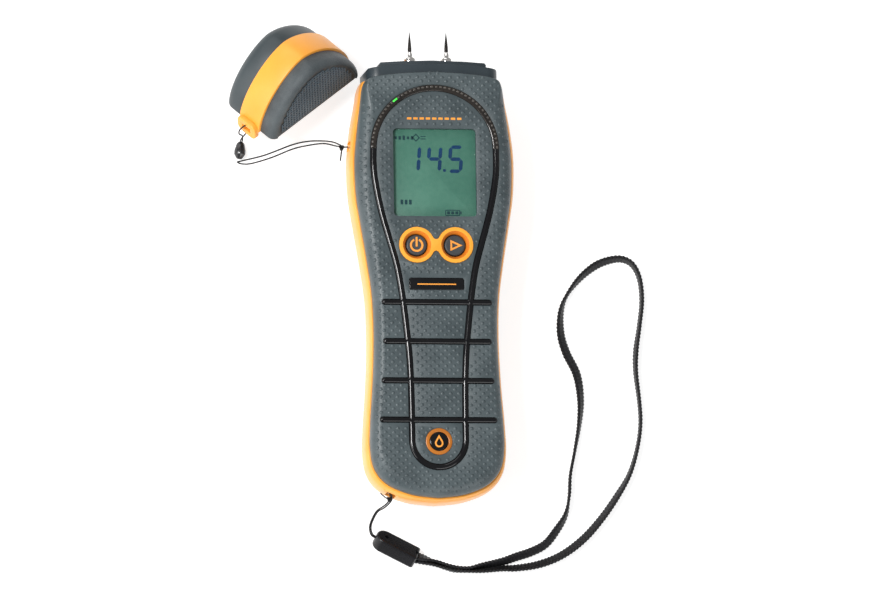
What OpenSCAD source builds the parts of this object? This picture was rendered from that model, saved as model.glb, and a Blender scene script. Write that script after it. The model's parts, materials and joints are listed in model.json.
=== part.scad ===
// Pin-type moisture meter with its slotted cap on a tether and a wrist strap.
// It lies on its back. +X is the meter's right, +Y points to the pins, +Z out of the front face.
// The origin is on the flat back, on the centre line. All sizes are millimetres.

/* [Body] */
// Thickness from the flat back to the front face
body_t = 34; // [33:0.5:36]
// Wall thickness of the shells
wall = 2; // [1.6:0.2:2.4]
// Height where the rear shell ends and the side band starts
band_low = 15; // [14:0.5:16]
// Height where the side band ends and the front shell starts
band_high = 27; // [26.5:0.5:27.5]
// How far the side band stands proud of the shells
band_out = 2; // [1:0.2:2.4]
// Radius of the front shell's edge
front_round = 5; // [3:0.5:6]
// Radius of the rear shell's edge
rear_round = 6; // [3:0.5:7]

/* [Neck and pins] */
// Half the width of the neck that the cap closes on
neck_half = 26.5; // [26:0.1:26.8]
// Half the width of the neck's raised end
neck_end_half = 22.2; // [20:0.2:23]
// Depth of the neck, front to back
neck_t = 27; // [25:0.5:28]
// Distance between the two pins
pin_gap = 15.2; // [14:0.1:17]
// Height of the pins above the back
pin_z = 19.5; // [18.5:0.1:20.5]
// Diameter of a pin's shank
pin_d = 1.6; // [1.2:0.1:1.8]
// Distance from the origin to the pins' points
pin_tip_y = 104; // [101:0.5:106]

/* [Display] */
// Width of the display window
lcd_w = 34.2; // [32:0.2:35]
// Height of the display window
lcd_h = 36.2; // [34:0.2:37]
// Distance from the origin to the window's centre
lcd_y = 44.7; // [44:0.1:45.5]
// Height of a large digit
digit_h = 10.6; // [9:0.1:12]

/* [Light arc and grip frame] */
// Radius of the light arc's centre line
arc_r = 25.4; // [25:0.1:25.6]
// Distance from the origin to the arc's centre
arc_y = 54.4; // [54:0.1:55]
// Width of the glossy strip
strip_w = 2.6; // [2.2:0.1:3]
// Number of lights in the arc
led_count = 44; // [30:1:48]
// Width of a grip bar
bar_w = 2.4; // [2:0.1:3]
// Distance between grip bars
bar_gap = 16.26; // [15.5:0.01:16.5]

/* [Buttons] */
// Distance of each button from the centre line
button_x = 7.95; // [7.8:0.05:8.2]
// Distance from the origin to the buttons
button_y = 14.55; // [14:0.05:15]
// Radius of a button
button_r = 4.3; // [4:0.1:4.4]
// Outer radius of a bezel ring
bezel_r = 7.4; // [7:0.1:7.6]
// How far a button goes down
button_travel = 1; // [0.6:0.1:1]

/* [Cap] */
// Width of the cap across its band
cap_w = 52; // [50:0.5:54]
// Height of the cap's dome over its mouth
cap_h = 27; // [25:0.5:28]
// Depth of the cap, front to back
cap_t = 29.5; // [28:0.5:30]
// How far the cap's band stands proud
cap_band_out = 1.2; // [0.8:0.1:1.6]
// Where the cap lies: the middle of its mouth
cap_at = [-55.4, 82.6, 12.5];
// How the cap lies, in degrees about X, Y and Z
cap_turn = [62, 12, 38];

/* [Lanyards] */
// Diameter of the thin tether cord
cord_d = 0.8; // [0.8:0.1:1]
// Width of the wrist webbing
web_w = 4.6; // [4:0.1:5]
// Thickness of the wrist webbing
web_t = 1.4; // [1.2:0.1:1.8]

/* [Hidden] */
$fn = 48;

dark = [0.24, 0.27, 0.29];
darker = [0.16, 0.18, 0.19];
orange = [0.98, 0.68, 0.2];
gloss = [0.03, 0.03, 0.035];
steel = [0.78, 0.79, 0.8];
board_green = [0.08, 0.36, 0.2];

// Right half of the shells' outline, from the top middle to the bottom middle.
half_outline = [[0, 86.9], [14, 86.2], [25, 84.6], [28.6, 81.4], [29.8, 73], [31.1, 62], [32.2, 50],
    [31.7, 36], [29.7, 24], [27, 8], [25.1, -6], [24.7, -22], [25.5, -40], [27, -58], [27.3, -69],
    [25.7, -77.5], [20.5, -83.8], [11, -87.9], [0, -89.4]];
body_half_x = 32;
body_half_y = 88;
body_mid_y = -1;

// Right half of the glossy strip's centre line below the arc.
strip_side = [[arc_r, arc_y], [25.4, 46], [24.4, 38], [22.4, 28], [19.4, 17], [16.4, 6], [14.4, -6],
    [12.8, -20], [11.7, -32], [11.2, -46], [11.1, -66.4]];
strip_end_r = 11.1;
strip_end_y = -66.4;

roof = body_t - wall - 0.2;
board_low = 24.6;
board_t = 1.6;
board_top = board_low + board_t;
floor_t = 2.2;
button_top = body_t - 0.8;
button_low = board_top + button_travel + 1.2;
first_bar_y = -9.2;
groove_z = body_t - 1.6;
neck_y = 82;
neck_z = pin_z - 0.25;
cell_r = 7.1;
cell_len = 49;
cell_y = -79.5;
cell_x = 7.6;
cell_z = 10.9;
door_half = 18;
door_y = -30;
door_t = 2.2;
case_screw_at = [[22.3, 76], [-22.3, 76], [19, -25], [-19, -25]];
board_screw_at = [[17, 2], [-17, 2], [17, -35], [-17, -35]];
probe_y = 46;
probe_z = 21;
probe_r = 1.75;
tether_at = [-32.6, 57];
strap_at = [-18.8, -85.8];
notch_low = 17.5;
notch_high = 24.5;
fit = 0.05;
bead_at = [-76.3, 57.4, 2.5];
bead_hole = 2.8;
web_low = 0.1;

// Routes of the cords, by hand.
tether_route = [[-34, 57.2, 20], [-35.4, 57.4, 18.6], [-36.4, 58.8, 15], [-38.6, 61.2, 8],
    [-42.3, 62.4, 3], [-47.7, 62.4, 0.8], [-54.5, 61, 0.5], [-63.5, 57.5, 0.5], [-70, 54.6, 0.5],
    [-75, 52.6, 0.8], [-76.6, 53.4, 1.4], [-75.6, 51.6, 0.8], [-73, 51.8, 0.5], [-68, 53, 0.5],
    [-61, 56.1, 0.5], [-53.8, 59.2, 0.5], [-47.7, 60.6, 0.8], [-41.6, 60.6, 3.4],
    [-37.9, 58.9, 9.4], [-36.2, 56, 15], [-35.9, 54.4, 14], [-35.8, 53, 11]];
loop_route = [[-76.5, 61.9, 3], [-77.8, 62, 7], [-79.3, 62.4, 13], [-79.2, 63.2, 17.4],
    [-77.6, 64.4, 18.9], [-75.6, 65.6, 18.6], [-73.7, 66.6, 17.4], [-72.8, 65.6, 14],
    [-73.6, 63.4, 9.4], [-74.8, 62, 5.4], [-75.3, 61.9, 3]];
strap_cord_route = [[-19.8, -86.8, 20], [-20.8, -88.2, 18.4], [-22.6, -89.8, 13], [-24.6, -92.6, 7],
    [-25.6, -95.6, 4], [-25.4, -98.4, 3.2], [-24, -100.6, 3], [-22.4, -101.9, 3]];
strap_cord_back = [[-18.9, -87.7, 20], [-19.8, -89.4, 17.6], [-21.2, -91.2, 12], [-22.8, -93.4, 6.6],
    [-23.8, -95.8, 4], [-23.9, -97.8, 3.2], [-23, -99.6, 3], [-21.4, -100.9, 3]];
// The webbing stands on its edge: each point is [x, y, how far it leans up from flat, in degrees].
web_route = [[-5, -111.2, 90], [0, -112.4, 90], [6, -114.6, 90], [12.7, -115.4, 90],
    [20, -114.4, 85], [29, -111.6, 80], [36, -109.6, 78], [42.5, -107.8, 70], [48.4, -104.6, 60],
    [53, -99, 55], [57, -92.4, 70], [58.6, -84.5, 85], [59.2, -76, 85], [61.2, -66, 80],
    [63.2, -55, 78], [64, -44.7, 72], [62.6, -34, 55], [58.4, -25, 55], [56.2, -17, 65],
    [56.4, -8, 85], [59, -1, 80], [64.4, 6, 65], [70.6, 11.1, 55], [76.4, 13.6, 60],
    [82.1, 14.2, 70], [86.6, 11.8, 80], [89.4, 6, 85], [90.2, -3, 85], [89, -13.5, 85],
    [87.4, -24, 80], [87.2, -33, 85], [88.4, -44.5, 90], [88.8, -54, 90], [87.4, -64, 88],
    [84, -75, 80], [78.6, -84.4, 65], [71.8, -94, 65], [64, -102.6, 60], [55, -109.4, 60],
    [45.6, -114, 65], [36, -116, 68], [26, -117.6, 75], [16, -119.4, 78], [6, -118.6, 85],
    [0, -116.6, 90], [-5.6, -114.4, 90]];

// ---- Curves -------------------------------------------------------------------------------

// A point on the smooth curve through b and c, with a before b and d after c.
function smooth(a, b, c, d, t) =
    0.5 * (2 * b + (c - a) * t + (2 * a - 5 * b + 4 * c - d) * t * t
    + (3 * b - a - 3 * c + d) * t * t * t);

// The smooth curve through all the points of p, with n steps between each two.
function curve(p, n) = [
    for (i = [0 : len(p) - 2], s = [0 : n - 1])
        smooth(p[max(i - 1, 0)], p[i], p[i + 1], p[min(i + 2, len(p) - 1)], s / n),
    p[len(p) - 1]];

outline_steps = 3;
outline = curve(half_outline, outline_steps);
outline_n = len(outline);

// A point of the right half outline, drawn in by d.
function drawn_in(p, d) = [
    p.x * (1 - d / body_half_x),
    body_mid_y + (p.y - body_mid_y) * (1 - d / body_half_y)];

// The whole outline as a closed loop, drawn in by d.
function loop(d) = [
    for (p = outline) drawn_in(p, d),
    for (i = [outline_n - 2 : -1 : 1]) let (p = drawn_in(outline[i], d)) [-p.x, p.y]];

// A closed body through loops of the outline: each level is [height, how far it is drawn in].
module outline_loft(levels) {
    n = 2 * outline_n - 2;
    last = len(levels) - 1;
    points = [for (v = levels, p = loop(v[1])) [p.x, p.y, v[0]]];
    sides = [for (k = [0 : last - 1], i = [0 : n - 1])
        let (j = (i + 1) % n) [k * n + i, k * n + j, (k + 1) * n + j, (k + 1) * n + i]];
    // The ends are strips from the right half to the left half.
    low = [for (i = [0 : outline_n - 2])
        let (l = (n - i) % n, m = (n - i - 1) % n)
        i == 0 ? [0, n - 1, 1] : i == outline_n - 2 ? [i, l, i + 1] : [i, l, m, i + 1]];
    high = [for (f = low) [for (k = [len(f) - 1 : -1 : 0]) f[k] + last * n]];
    polyhedron(points, concat(sides, low, high), convexity = 4);
}

// Levels for a rounded edge that ends at height z, growing by out, with radius r.
function edge_levels(z, r, out, dir) = [
    for (a = [0 : 22.5 : 90]) [z - dir * r * (1 - sin(a)), r * (1 - cos(a)) - out]];

// The front shell's outer form, grown by out.
module front_form(out) {
    outline_loft(concat([[band_high, -out]], edge_levels(body_t + out, front_round, out, 1)));
}

module rear_form() {
    up = edge_levels(0, rear_round, 0, -1);
    outline_loft(concat([for (i = [len(up) - 1 : -1 : 0]) up[i]], [[band_low, 0]]));
}

module plate(low, high, d) {
    translate([0, 0, low]) linear_extrude(high - low) polygon(loop(d));
}

module box(a, b) {
    translate(a) cube(b - a);
}

module rod(at, low, high, r) {
    translate([at.x, at.y, low]) cylinder(h = high - low, r = r);
}

// A rounded rectangle standing from low to high.
module pad(at, w, h, r, low, high) {
    translate([at.x - w / 2, at.y - h / 2, low]) linear_extrude(high - low) union() {
        translate([r, 0]) square([w - 2 * r, h]);
        translate([0, r]) square([w, h - 2 * r]);
        for (x = [r, w - r], y = [r, h - r]) translate([x, y]) circle(r);
    }
}

// A turned piece whose axis runs along +Y through [x, pin_z].
module turned(x, profile) {
    translate([x, 0, pin_z]) rotate([-90, 0, 0]) rotate_extrude() polygon(profile);
}

// A cord as one tube along a smooth curve.
module cord(route, d, steps) {
    path = curve(route, steps);
    n = len(path);
    function along(i) = let (v = path[min(i + 1, n - 1)] - path[max(i - 1, 0)]) v / norm(v);
    function ring(i) = let (
        t = along(i),
        s = cross(t, abs(t.z) > 0.9 ? [0, 1, 0] : [0, 0, 1]),
        u = s / norm(s),
        w = cross(u, t))
        [for (a = [22.5 : 45 : 359]) path[i] + d / 2 * (u * cos(a) + w * sin(a))];
    points = [for (i = [0 : n - 1], p = ring(i)) p];
    sides = [for (i = [0 : n - 2], k = [0 : 7])
        let (m = (k + 1) % 8) [i * 8 + k, i * 8 + m, i * 8 + 8 + m, i * 8 + 8 + k]];
    ends = [[7, 6, 5, 4, 3, 2, 1, 0], [for (k = [0 : 7]) (n - 1) * 8 + k]];
    polyhedron(points, concat(sides, ends), convexity = 8);
}

// ---- Shells -------------------------------------------------------------------------------

module neck_form(grow) {
    intersection() {
        translate([0, 0, -5]) linear_extrude(body_t + 10) polygon([
            [-neck_half - grow, neck_y - grow], [neck_half + grow, neck_y - grow],
            [neck_half + grow, 88], [neck_half - 0.6, 89.2], [neck_end_half, 90.6], [12, 91.8],
            [0, 92.2], [-12, 91.8], [-neck_end_half, 90.6], [-neck_half + 0.6, 89.2],
            [-neck_half - grow, 88]]);
        translate([0, 100, 0]) rotate([90, 0, 0]) linear_extrude(40)
            translate([-neck_half - grow, neck_z - neck_t / 2 - grow]) union() {
                w = 2 * (neck_half + grow);
                h = neck_t + 2 * grow;
                r = 5;
                translate([r, 0]) square([w - 2 * r, h]);
                translate([0, r]) square([w, h - 2 * r]);
                for (x = [r, w - r], y = [r, h - r]) translate([x, y]) circle(r);
            }
    }
}

module neck() {
    color(darker) difference() {
        neck_form(0);
        box([-22, neck_y - 1, neck_z - neck_t / 2 + 3], [22, 88.6, neck_z + neck_t / 2 - 3]);
        for (x = [-pin_gap / 2, pin_gap / 2])
            turned(x, [[0, 86], [2.6, 86], [2.6, 95], [0, 95]]);
    }
}

module strip_shape() {
    side = curve(strip_side, 4);
    n = len(side);
    half = strip_w / 2;
    function across(i) = let (v = side[min(i + 1, n - 1)] - side[max(i - 1, 0)])
        [-v.y, v.x] / norm(v);
    right = [for (i = [0 : n - 1]) side[i] + across(i) * half];
    left = [for (i = [0 : n - 1]) side[i] - across(i) * half];
    for (m = [0, 1]) mirror([m, 0])
        polygon(concat(right, [for (i = [n - 1 : -1 : 0]) left[i]]));
    difference() {
        translate([0, strip_end_y]) circle(strip_end_r + half);
        translate([0, strip_end_y]) circle(strip_end_r - half);
        translate([-20, strip_end_y + 0.1]) square([40, 20]);
    }
}

module bar_shapes() {
    for (k = [0 : 3]) {
        reach = 21.6 + 0.2 * k;
        translate([-reach, first_bar_y - k * bar_gap - bar_w / 2]) square([2 * reach, bar_w]);
        for (x = [-reach, reach])
            translate([x, first_bar_y - k * bar_gap]) circle(bar_w / 2);
    }
}

module grip_frame() {
    color(gloss) intersection() {
        front_form(0.8);
        translate([0, 0, groove_z]) linear_extrude(6) union() {
            strip_shape();
            bar_shapes();
        }
    }
}

module arc_shape(inner, outer) {
    difference() {
        translate([0, arc_y]) circle(outer, $fn = 96);
        translate([0, arc_y]) circle(inner, $fn = 96);
        translate([-40, arc_y - 80]) square([80, 80]);
    }
}

module bezel_shape(grow) {
    fillet = 1.4;
    offset(r = grow - fillet) offset(r = fillet)
        for (x = [-button_x, button_x]) translate([x, button_y]) circle(bezel_r);
}

module front_shell() {
    color(dark) difference() {
        union() {
            difference() {
                front_form(0);
                plate(band_high - 1, roof, wall);
            }
            for (p = case_screw_at) rod(p, band_low + 1.2, roof + 0.5, 3);
            for (p = board_screw_at) rod(p, board_top, roof + 0.5, 2);
        }
        neck_form(fit);
        pad([0, lcd_y], lcd_w + 0.2, lcd_h + 0.2, 1.6, roof - 1, body_t + 1);
        translate([0, 0, roof - 1]) linear_extrude(6)
            arc_shape(arc_r - strip_w / 2 - fit, arc_r + strip_w / 2 + fit);
        translate([0, 0, groove_z]) linear_extrude(6) union() {
            strip_shape();
            bar_shapes();
        }
        translate([0, 0, roof - 1]) linear_extrude(6) bezel_shape(fit);
        pad([0, -1.6], 22.9, 5, 1, body_t - 0.9, body_t + 1);
        rod([0, -66.9], body_t - 1.2, body_t + 1, 5.6);
        for (p = case_screw_at) rod(p, 10, 27, 1.05);
        for (p = board_screw_at) rod(p, board_top - 1, board_top + 4, 0.75);
    }
}

module notch(at, turn) {
    translate([at.x, at.y, notch_low]) rotate([0, 0, turn])
        translate([-1.6, -2, 0]) cube([5, 4, notch_high - notch_low]);
}

module side_band() {
    color(orange) difference() {
        outline_loft([[band_low, -band_out * 0.3], [band_low + 1.4, -band_out * 0.8],
            [(band_low + band_high) / 2, -band_out], [band_high - 1.4, -band_out * 0.8],
            [band_high, -band_out * 0.3]]);
        plate(band_low - 1, band_high + 1, 1.6);
        box([-40, 83.4, 0], [40, 120, 60]);
        neck_form(fit);
        notch(tether_at, 180);
        notch(strap_at, 235);
        translate([20, probe_y, probe_z]) rotate([0, 90, 0]) cylinder(h = 20, r = 3.2);
    }
}

module rear_shell() {
    color(darker) difference() {
        union() {
            difference() {
                rear_form();
                plate(floor_t, band_low + 1, wall);
            }
            for (p = case_screw_at) rod(p, floor_t - 0.5, band_low + 1.1, 3);
        }
        neck_form(fit);
        box([-door_half - 0.3, -100, -1], [door_half + 0.3, door_y + 0.3, door_t + 0.6]);
        for (p = case_screw_at) rod(p, -1, band_low + 2, 1.3);
        for (p = case_screw_at) rod(p, -1, 5, 2.7);
    }
}

module battery_door() {
    color(darker) difference() {
        intersection() {
            rear_form();
            box([-door_half, -95, 0.3], [door_half, door_y, door_t]);
        }
        for (k = [0 : 4]) box([-8, door_y - 6 - 2.4 * k, 0], [8, door_y - 5 - 2.4 * k, 0.8]);
    }
}

// ---- Display ------------------------------------------------------------------------------

module display_window() {
    color([0.7, 0.85, 0.8, 0.4]) pad([0, lcd_y], lcd_w, lcd_h, 1.5, roof, body_t - 0.5);
}

module display_glass() {
    color([0.32, 0.52, 0.45]) pad([0, lcd_y], lcd_w + 3, lcd_h + 4, 0.6, roof - 2.1, roof - 0.1);
}

// One bar of a digit, from a to b, leaning with height.
module segment(a, b) {
    along = (b - a) / norm(b - a);
    side = [-along.y, along.x] * 0.55;
    p = a + along * 0.15;
    q = b - along * 0.15;
    polygon([for (v = [p, p + along * 0.5 + side, q - along * 0.5 + side, q,
        q - along * 0.5 - side, p + along * 0.5 - side]) [v.x + 0.12 * v.y, v.y]]);
}

// A digit from its lit bars, numbered from the top, clockwise, with the middle bar last.
module digit(lit) {
    w = 4.6;
    h = digit_h;
    ends = [[[0, h], [w, h]], [[w, h], [w, h / 2]], [[w, h / 2], [w, 0]], [[0, 0], [w, 0]],
        [[0, 0], [0, h / 2]], [[0, h / 2], [0, h]], [[0, h / 2], [w, h / 2]]];
    for (k = lit) segment(ends[k][0], ends[k][1]);
}

module display_segments() {
    color([0.08, 0.12, 0.3]) translate([0, 0, roof - 0.1]) linear_extrude(0.08) {
        translate([-12.4, lcd_y + 0.2]) digit([1, 2]);
        translate([-3.4, lcd_y + 0.2]) digit([1, 2, 5, 6]);
        translate([5.6, lcd_y + 0.2]) digit([0, 2, 3, 5, 6]);
        translate([3.2, lcd_y + 0.2]) square([1, 1]);
        for (k = [0 : 4]) translate([-16 + 2 * k, lcd_y + 13.2]) square([1.3, 1.4 + 0.4 * (k % 3)]);
        translate([-14.6, lcd_y - 12.4]) circle(1.1);
        for (y = [0, 1.6]) translate([4.5, lcd_y - 16.6 + y]) square([6.4, 0.6]);
    }
}

module display_frame() {
    color(gloss) difference() {
        pad([0, lcd_y], lcd_w + 6.4, lcd_h + 7, 1.5, board_top + 0.2, roof);
        pad([0, lcd_y], lcd_w + 3.1, lcd_h + 4.1, 0.6, board_top - 1, roof + 1);
    }
}

module backlight() {
    color([0.85, 0.95, 0.75]) pad([0, lcd_y], lcd_w + 2, lcd_h - 1, 0.6, roof - 3.4, roof - 2.2);
}

module zebra_strips() {
    color([0.75, 0.3, 0.5])
        for (y = [lcd_y - lcd_h / 2 - 1.2, lcd_y + lcd_h / 2 + 0.4])
            box([-16, y - 0.3, board_top], [16, y + 0.9, roof - 2.1]);
}

// ---- Lights -------------------------------------------------------------------------------

module light_lens() {
    color([0.12, 0.13, 0.14, 0.7]) translate([0, 0, roof + 0.1]) linear_extrude(body_t + 0.6 - roof)
        arc_shape(arc_r - strip_w / 2, arc_r + strip_w / 2);
}

lit_number = round(led_count * 129 / 180);

module led(k) {
    translate([0, arc_y, roof - 1.2]) rotate([0, 0, (k + 0.5) * 180 / led_count])
        translate([arc_r - 0.7, -0.5, 0]) cube([1.4, 1, 0.7]);
}

module leds() {
    color([0.5, 0.52, 0.45]) for (k = [0 : led_count - 1]) if (k != lit_number) led(k);
}

module lit_led() {
    color([0.2, 0.95, 0.25]) led(lit_number);
}

module led_board() {
    color(board_green) translate([0, 0, roof - 2.2]) linear_extrude(1)
        arc_shape(arc_r - 1.6, arc_r + 1.6);
}

// ---- Buttons ------------------------------------------------------------------------------

module button_bezel() {
    color(orange) difference() {
        union() {
            translate([0, 0, roof - 1]) linear_extrude(body_t + 0.5 - roof + 1) bezel_shape(0);
            translate([0, 0, roof - 1.6]) linear_extrude(1.2) bezel_shape(1);
        }
        for (x = [-button_x, button_x]) translate([x, button_y, 0]) {
            cylinder(h = 50, r = button_r + 0.3);
            translate([0, 0, body_t - 0.9]) cylinder(h = 1.6, r1 = button_r + 0.3, r2 = bezel_r - 0.9);
        }
    }
}

module button(x) {
    color(gloss) translate([x, button_y, 0]) {
        rod([0, 0], button_low, button_low + 1.2, button_r + 0.9);
        rod([0, 0], button_low, button_top - 0.4, button_r);
        translate([0, 0, button_top - 0.4]) cylinder(h = 0.4, r1 = button_r, r2 = button_r - 0.5);
    }
}

module power_button() {
    button(-button_x);
}

module mode_button() {
    button(button_x);
}

module power_icon() {
    color(orange) translate([-button_x, button_y, button_top]) linear_extrude(0.12) {
        difference() {
            circle(2.8);
            circle(1.95);
            translate([-1, 0]) square([2, 4]);
        }
        translate([-0.43, -0.6]) square([0.86, 4]);
    }
}

module mode_icon() {
    triangle = [[-1.9, 2.3], [3.1, 0], [-1.9, -2.3]];
    color(orange) translate([button_x, button_y, button_top]) linear_extrude(0.12) difference() {
        polygon(triangle);
        offset(delta = -0.75) polygon(triangle);
    }
}

module button_switches() {
    color(steel) for (x = [-button_x, button_x]) {
        pad([x, button_y], 6, 6, 0.5, board_top, board_top + 0.7);
        rod([x, button_y], board_top + 0.7, board_top + 1.1, 1.6);
    }
}

// ---- Boards and sensing -------------------------------------------------------------------

module main_board() {
    color(board_green) difference() {
        pad([0, 14], 42, 104, 2, board_low, board_top);
        for (p = case_screw_at) rod(p, 20, 30, 3.3);
        for (p = board_screw_at) rod(p, 20, 30, 0.9);
    }
}

module board_chips() {
    color(gloss) {
        box([-6, 30, board_low - 1.4], [6, 42, board_low]);
        box([-15, 34, board_low - 1], [-10, 40, board_low]);
        box([9, 26, board_low - 1], [15, 30, board_low]);
        box([-14, 18, board_low - 1.2], [-8, 22, board_low]);
    }
}

module buzzer() {
    color(gloss) difference() {
        rod([0, -14], board_low - 4, board_low, 5);
        rod([0, -14], board_low - 5, board_low - 3, 1);
    }
}

module board_header() {
    color(gloss) box([-7, 60, 16.8], [7, 62.6, board_low]);
}

module sensor_board() {
    color(board_green) difference() {
        pad([0, 69], 38, 22, 1.5, 15.2, 16.8);
        for (x = [-15, 15]) rod([x, 62], 10, 20, 1.2);
    }
}

module sensor_plate() {
    color([0.78, 0.5, 0.3]) pad([0, 58], 38, 34, 2, floor_t, floor_t + 0.4);
}

module pin_sockets() {
    color([0.8, 0.65, 0.3]) for (x = [-pin_gap / 2, pin_gap / 2])
        turned(x, [[pin_d / 2 + fit, 78], [2.4, 78], [2.4, 85.8], [pin_d / 2 + fit, 85.8]]);
}

module pin(x) {
    r = pin_d / 2;
    color(steel) turned(x, [[0, 79], [r, 79], [r, 98.5], [r * 0.8, 100.3], [r * 0.4, 102.4],
        [0, pin_tip_y]]);
}

module left_pin() {
    pin(-pin_gap / 2);
}

module right_pin() {
    pin(pin_gap / 2);
}

module collar(x) {
    r = pin_d / 2 + fit;
    color(steel) turned(x, [[r, 87.2], [2.2, 87.2], [2.2, 91.4], [2.6, 91.4], [2.6, 92.9],
        [2.1, 93.6], [1.3, 94.6], [1.1, 95.6], [r, 95.6]]);
}

module left_collar() {
    collar(-pin_gap / 2);
}

module right_collar() {
    collar(pin_gap / 2);
}

module pin_seals() {
    color(gloss) for (x = [-pin_gap / 2, pin_gap / 2])
        turned(x, [[pin_d / 2 + fit, 86.1], [2.5, 86.1], [2.5, 87.1], [pin_d / 2 + fit, 87.1]]);
}

module probe_socket() {
    color(gloss) difference() {
        union() {
            box([16, probe_y - 4, probe_z - 3], [28.5, probe_y + 4, probe_z + 3]);
            translate([28, probe_y, probe_z]) rotate([0, 90, 0]) cylinder(h = 5.6, r = 3);
        }
        translate([19.6, probe_y, probe_z]) rotate([0, 90, 0]) cylinder(h = 20, r = probe_r);
    }
}

// ---- Marks --------------------------------------------------------------------------------

module name_plate() {
    color(gloss) pad([0, -1.6], 22.8, 4.9, 0.9, body_t - 0.9, body_t + 0.1);
}

module printed_marks() {
    color(orange) {
        for (k = [-4 : 4]) box([2.6 * k - 0.9, 66.6, body_t], [2.6 * k + 0.9, 67.5, body_t + 0.06]);
        box([-8, -2, body_t + 0.1], [8, -1.5, body_t + 0.16]);
    }
}

module badge_ring() {
    color(orange) difference() {
        rod([0, -66.9], body_t - 1.2, body_t + 0.4, 5.5);
        rod([0, -66.9], body_t - 2, body_t + 1, 3.95);
    }
}

module badge_disc() {
    color(gloss) rod([0, -66.9], body_t - 1.2, body_t + 0.2, 3.9);
}

module drop_shape(r) {
    circle(r);
    polygon([[-r * 0.87, r * 0.5], [r * 0.87, r * 0.5], [0, r * 2]]);
}

module badge_mark() {
    color(orange) translate([0, -67.5, body_t + 0.2]) linear_extrude(0.1) difference() {
        drop_shape(1.5);
        drop_shape(1);
    }
}

// ---- Power and fasteners ------------------------------------------------------------------

module batteries() {
    color([0.75, 0.55, 0.2]) for (s = [-1, 1]) translate([s * cell_x, cell_y, cell_z])
        mirror([0, s < 0 ? 1 : 0, 0]) translate([0, s < 0 ? -cell_len : 0, 0])
            rotate([-90, 0, 0]) {
                cylinder(h = cell_len - 1.4, r = cell_r);
                cylinder(h = cell_len, r = 2.7);
            }
}

module battery_contacts() {
    color(steel) for (y = [cell_y - 1.2, cell_y + cell_len + 0.2])
        for (x = [-cell_x, cell_x]) box([x - 4.5, y, cell_z - 5], [x + 4.5, y + 0.5, cell_z + 5]);
}

module case_screws() {
    color(steel) for (p = case_screw_at) difference() {
        union() {
            rod(p, 2.6, 5, 2.5);
            rod(p, 4.9, 22, 1);
        }
        translate([p.x, p.y, 2]) cylinder(h = 1.8, r = 1.1, $fn = 6);
    }
}

module board_screws() {
    color(steel) for (p = board_screw_at) {
        rod(p, board_low - 1.3, board_low, 1.5);
        rod(p, board_low - 0.1, board_top + 3.4, 0.7);
    }
}

module tether_pin() {
    color(steel) rod(tether_at, notch_low, notch_high, 0.6);
}

module strap_pin() {
    color(steel) rod(strap_at, notch_low, notch_high, 0.6);
}

// ---- Cap ----------------------------------------------------------------------------------

dome_power = 1.21;
dome_n = 36;
cap_band_low = -4.5;
cap_band_high = 7;
cap_inset = cap_band_out + 2;

// The cap's dome outline over its mouth, drawn in by d.
function dome(d) = [for (k = [0 : dome_n]) let (a = 180 * k / dome_n, s = sign(cos(a)))
    [s * pow(abs(cos(a)), dome_power) * (cap_w / 2 - d), pow(sin(a), dome_power) * (cap_h - d)]];

// A closed body through dome outlines: each level is [height, how far it is drawn in].
module dome_loft(levels) {
    n = dome_n + 1;
    last = len(levels) - 1;
    points = [for (v = levels, p = dome(v[1])) [p.x, p.y, v[0]]];
    sides = [for (k = [0 : last - 1], i = [0 : n - 1])
        let (j = (i + 1) % n) [k * n + j, k * n + i, (k + 1) * n + i, (k + 1) * n + j]];
    low = [for (i = [0 : n - 1]) i];
    high = [for (i = [n - 1 : -1 : 0]) last * n + i];
    polyhedron(points, concat(sides, [low, high]), convexity = 4);
}

module dome_plate(low, high, d) {
    translate([0, 0, low]) linear_extrude(high - low) polygon(dome(d));
}

module cap_hollow() {
    difference() {
        dome_plate(-cap_t / 2 + 2, cap_t / 2 - 2, cap_inset);
        translate([-50, cap_h - cap_inset, -50]) cube([100, 20, 100]);
    }
    translate([-cap_w / 2 + cap_inset, -5, -cap_t / 2 + 2])
        cube([cap_w - 2 * cap_inset, 5.5, cap_t - 4]);
}

module lying_cap() {
    translate(cap_at) rotate(cap_turn) children();
}

module cap_front() {
    color(dark) lying_cap() difference() {
        dome_loft([[cap_band_high, cap_band_out], [cap_t / 2 - 3.6, cap_band_out],
            [cap_t / 2 - 1.8, cap_band_out + 0.5], [cap_t / 2 - 0.5, cap_band_out + 1.8],
            [cap_t / 2, cap_band_out + 3.6]]);
        cap_hollow();
    }
}

module cap_rear() {
    color(darker) lying_cap() difference() {
        dome_loft([[-cap_t / 2, cap_band_out + 4.6], [-cap_t / 2 + 0.6, cap_band_out + 2.4],
            [-cap_t / 2 + 2.2, cap_band_out + 0.7], [-cap_t / 2 + 4.6, cap_band_out],
            [cap_band_low, cap_band_out]]);
        cap_hollow();
    }
}

module cap_band() {
    lug_x = -cap_w / 2 - 0.4;
    lug_z = (cap_band_low + cap_band_high) / 2;
    color(orange) lying_cap() difference() {
        union() {
            dome_plate(cap_band_low, cap_band_high, 0);
            // The lug is a round-ended plate across the band, 2 thick.
            translate([lug_x, 0, lug_z]) rotate([0, -90, 0]) {
                translate([-4, -2.6, -1]) cube([8, 5.6, 2]);
                for (z = [-2, 2]) translate([z, -2.8, -1]) cylinder(h = 2, r = 2.2);
            }
        }
        cap_hollow();
        translate([lug_x - 3, -1.9, lug_z - 2.4]) cube([8, 2.4, 4.8]);
    }
}

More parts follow.
